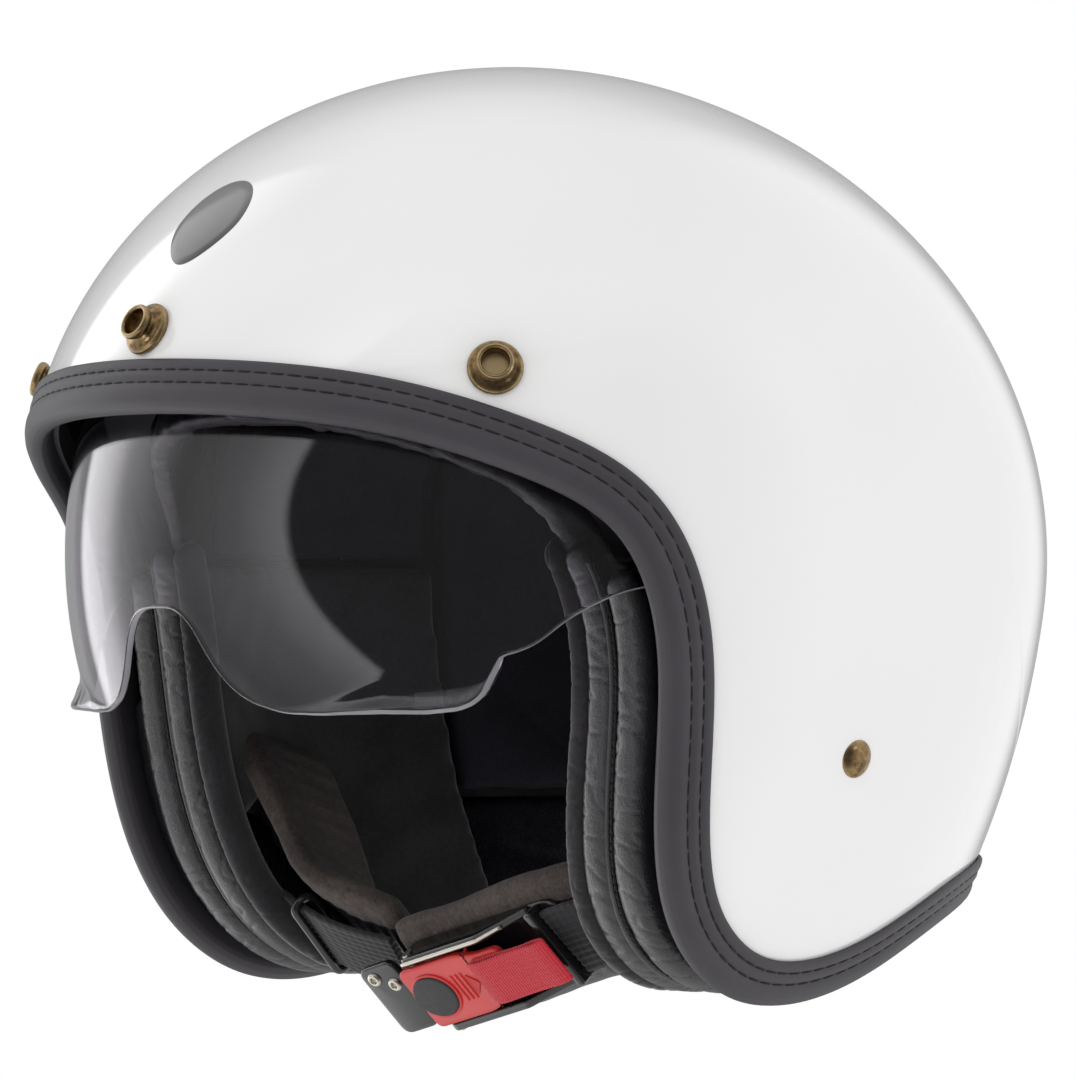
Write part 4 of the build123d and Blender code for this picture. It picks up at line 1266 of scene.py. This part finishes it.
def pull_tab():
    """A loop of red webbing through the lever's end: two layers that close in a fold."""
    u = np.concatenate([np.linspace(24, 31, 12), np.linspace(31, 52.4, 34)[1:]])
    places, outs = [], []
    top = [(24.2, 8.7), (27, 9.8), (31, 10.0), (40, 9.6), (48, 9.7), (52.2, 9.4), (53.4, 8.8), (52.4, 8.2), (46, 8.1),
           (36, 8.0), (28, 8.0), (25, 8.1)]
    line = spline([(a, b + 0.25) for a, b in top], 120)
    path = np.array([at_buckle(a, 0, b) for a, b in line])
    along = np.gradient(path, axis=0)
    along /= np.linalg.norm(along, axis=1)[:, None]
    across = np.repeat(BUCKLE_W[None], len(path), 0)
    out = np.cross(across, along)
    half = 6.5
    spread = np.linspace(-half, half, 41)
    ribs = 0.07 * np.cos(spread / half * pi * 9)
    profile = [(w, 0.42 + r) for w, r in zip(spread, ribs)] + [(half + 0.12, 0.0)]
    profile += [(w, -0.42 - r) for w, r in zip(spread[::-1], ribs[::-1])] + [(-half - 0.12, 0.0)]
    points, faces = sweep(path, across, out, profile, closed=False)
    made = tidy(piece("pull_tab", points, faces, RED_TAPE, "buckle_lever"))
    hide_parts("pull_tab")


def tongue():
    outline = outline_of([(-20, -10), (-6.5, -10), (-6.5, 11.5), (-20, 11.5)], 3.2)
    made = flat_ring(outline, rounding_levels(2.0, 4.2, 0.7), "tongue_cap", BLACK_GLOSS, "buckle_tongue")
    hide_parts("tongue_cap")
    for i, (u, w) in enumerate(((-15.5, 8.0), (-10.0, 5.0))):
        head = [(0.0, 0.25), (0.7, 0.25), (0.85, 0.6), (1.1, 0.95), (1.5, 0.95), (1.85, 0.6), (2.0, 0.0)]
        made = lathe("tongue_rivet_%d" % i, rounded(head, 30), at_buckle(u, w, 4.2), BUCKLE_N, PALE_STEEL,
                     "buckle_tongue", 40)
        if i == 0:
            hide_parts("tongue_rivets")
    dress("ratchet_tongue", STEEL)


def hardware_left():
    """CAD nodes that keep their own shape."""
    for node in ("brow_snap_eyelets",):
        dress(node, BRASS)
    for node in ("brow_snap_washers", "strap_anchor_plates", "lever_pin", "hinge_plate_screws"):
        dress(node, STEEL)
    for node in ("strap_rivet_spacers", "visor_hinge_plate_left", "visor_hinge_plate_right", "visor_pivot_screws",
                 "visor_friction_washers"):
        dress(node, BLACK_SOFT)
    dress("crown_foam", FOAM)
    dress("visor_gasket", RUBBER)


# ---------------------------------------------------------------- camera, light and stage
CAMERA_AZIMUTH = 49.4
CAMERA_ELEVATION = -0.6
CAMERA_DISTANCE = 2025.0
CAMERA_AIM = (1.34, -0.49)      # to the right and up, from the origin
CAMERA_LENS = 264.7
FLOOR_DROP = 0.16


def view_axes():
    a, e = radians(CAMERA_AZIMUTH), radians(CAMERA_ELEVATION)
    back = Vector((sin(a) * cos(e), -cos(a) * cos(e), sin(e)))
    right = Vector((cos(a), sin(a), 0))
    return back, right, back.cross(right)


def camera():
    back, right, up = view_axes()
    data = bpy.data.cameras.new("camera")
    data.lens = CAMERA_LENS
    data.sensor_width = 36.0
    data.clip_start, data.clip_end = 0.05, 60.0
    made = bpy.data.objects.new("camera", data)
    bpy.context.scene.collection.objects.link(made)
    made.location = (back * CAMERA_DISTANCE + right * CAMERA_AIM[0] + up * CAMERA_AIM[1]) * MM
    made.rotation_mode = "QUATERNION"
    made.rotation_quaternion = Matrix((right, up, back)).transposed().to_quaternion()
    bpy.context.scene.camera = made


def area_light(name, place, target, size, power):
    data = bpy.data.lights.new(name, "AREA")
    data.shape = "RECTANGLE"
    data.size, data.size_y = size
    data.energy = power
    made = bpy.data.objects.new(name, data)
    bpy.context.scene.collection.objects.link(made)
    made.location = place
    made.rotation_mode = "QUATERNION"
    made.rotation_quaternion = (Vector(place) - Vector(target)).to_track_quat("Z", "Y")
    return made


# What gloss sees around the object: degrees round from the front towards the left side, and brightness there.
GLOSS_ROUND = [(-180, 1.0), (-158, 1.0), (-146, 0.4), (-97, 0.4), (-94, 2.2), (-78, 2.2), (-69, 1.2), (-44, 0.5),
               (-22, 0.9), (-6, 1.7), (-5.2, 0.15), (88, 0.15), (124, 1.0), (180, 1.0)]
GLOSS_PEAK = 2.2
# The front panel's border bows: its middle height, how fast it bends, and where round the object it does so.
BORDER_MIDDLE = 0.15
BORDER_BEND = radians(67.0)
BORDER_REACH = (radians(35.0), radians(70.0))


def world():
    """White surroundings; gloss sees panels of different brightness, and the backdrop is plain white."""
    made = bpy.data.worlds.new("studio")
    made.use_nodes = True
    bpy.context.scene.world = made
    tree = made.node_tree
    tree.nodes.clear()
    way = add(tree, "ShaderNodeSeparateXYZ", {0: add(tree, "ShaderNodeTexCoord").outputs["Generated"]}).outputs
    turn = math(tree, "ARCTAN2", way["X"], math(tree, "MULTIPLY", way["Y"], -1.0))
    rise = math(tree, "SUBTRACT", way["Z"], BORDER_MIDDLE)
    bow = math(tree, "MULTIPLY", math(tree, "MULTIPLY", rise, rise), BORDER_BEND)
    near = ramp(tree, math(tree, "ABSOLUTE", turn), *BORDER_REACH, 1.0, 0.0)
    turn = math(tree, "SUBTRACT", turn, math(tree, "MULTIPLY", bow, near))
    place = math(tree, "ADD", math(tree, "MULTIPLY", turn, 0.5 / pi), 0.5)
    round_about = add(tree, "ShaderNodeValToRGB", {0: place})
    stops = round_about.color_ramp.elements
    while len(stops) < len(GLOSS_ROUND):
        stops.new(0.5)
    for stop, (degrees, bright) in zip(stops, GLOSS_ROUND):
        stop.position = degrees / 360 + 0.5
        stop.color = (bright / GLOSS_PEAK, bright / GLOSS_PEAK, bright / GLOSS_PEAK, 1)
    panels = add(tree, "ShaderNodeBackground", {0: round_about.outputs[0], 1: GLOSS_PEAK})
    overhead = add(tree, "ShaderNodeBackground", {0: (1, 1, 1, 1), 1: 0.8})
    height = ramp(tree, math(tree, "ABSOLUTE", way["Z"]), 0.55, 0.85, 0.0, 1.0)
    gloss = add(tree, "ShaderNodeMixShader", {0: height, 1: panels.outputs[0], 2: overhead.outputs[0]})
    around = add(tree, "ShaderNodeBackground", {0: (1, 1, 1, 1), 1: 0.95})
    ray = add(tree, "ShaderNodeLightPath")
    mirrored_once = math(tree, "GREATER_THAN", ray.outputs["Glossy Depth"], 0.5)
    by_gloss = math(tree, "MAXIMUM", ray.outputs["Is Glossy Ray"], mirrored_once)
    lit = add(tree, "ShaderNodeMixShader", {0: by_gloss, 1: around.outputs[0], 2: gloss.outputs[0]})
    through = math(tree, "GREATER_THAN", ray.outputs["Is Transmission Ray"], by_gloss)
    seen = math(tree, "MAXIMUM", ray.outputs["Is Camera Ray"], through)
    backdrop = add(tree, "ShaderNodeBackground", {0: (1, 1, 1, 1), 1: 1.0})
    shown = add(tree, "ShaderNodeMixShader", {0: seen, 1: lit.outputs[0], 2: backdrop.outputs[0]})
    add(tree, "ShaderNodeOutputWorld", {0: shown.outputs[0]})


def floor():
    made, tree, shader = material("pale_floor", (0.9, 0.9, 0.9), 0.7)
    cloud = noise_of(tree, 2.0, 2.0)
    tree.links.new(mix(tree, cloud.outputs["Fac"], (0.88, 0.88, 0.88), (0.92, 0.92, 0.92)), shader.inputs["Base Color"])
    shader.inputs["Emission Color"].default_value = (1, 1, 1, 1)
    shader.inputs["Emission Strength"].default_value = 0.25
    mesh = bpy.data.meshes.new("floor")
    radius, height = 2.0, cad_low.z - FLOOR_DROP
    ring = [(radius * cos(a), radius * sin(a), height) for a in np.linspace(0, 2 * pi, 64, endpoint=False)]
    mesh.from_pydata(ring, [], [tuple(range(64))])
    mesh.materials.append(made)
    made = bpy.data.objects.new("floor", mesh)
    bpy.context.scene.collection.objects.link(made)
    made.visible_glossy = False
    made.visible_transmission = False


def studio():
    scene = bpy.context.scene
    scene.view_settings.view_transform = "Standard"
    camera()
    world()
    floor()
    back, right, up = view_axes()
    key = area_light("key", back * 1.6 - right * 0.4 + up * 1.6, (0, 0, 0), (1.4, 1.4), 5)
    key.visible_glossy = False


# ---------------------------------------------------------------- making
outer_shell()
edge_trim()
brow_studs()
strap_rivets()
front_badge()
visor_lens()
cheeks()
cheek_rolls()
lining()
straps()
buckle()
lever()
pull_tab()
tongue()
hardware_left()
studio()
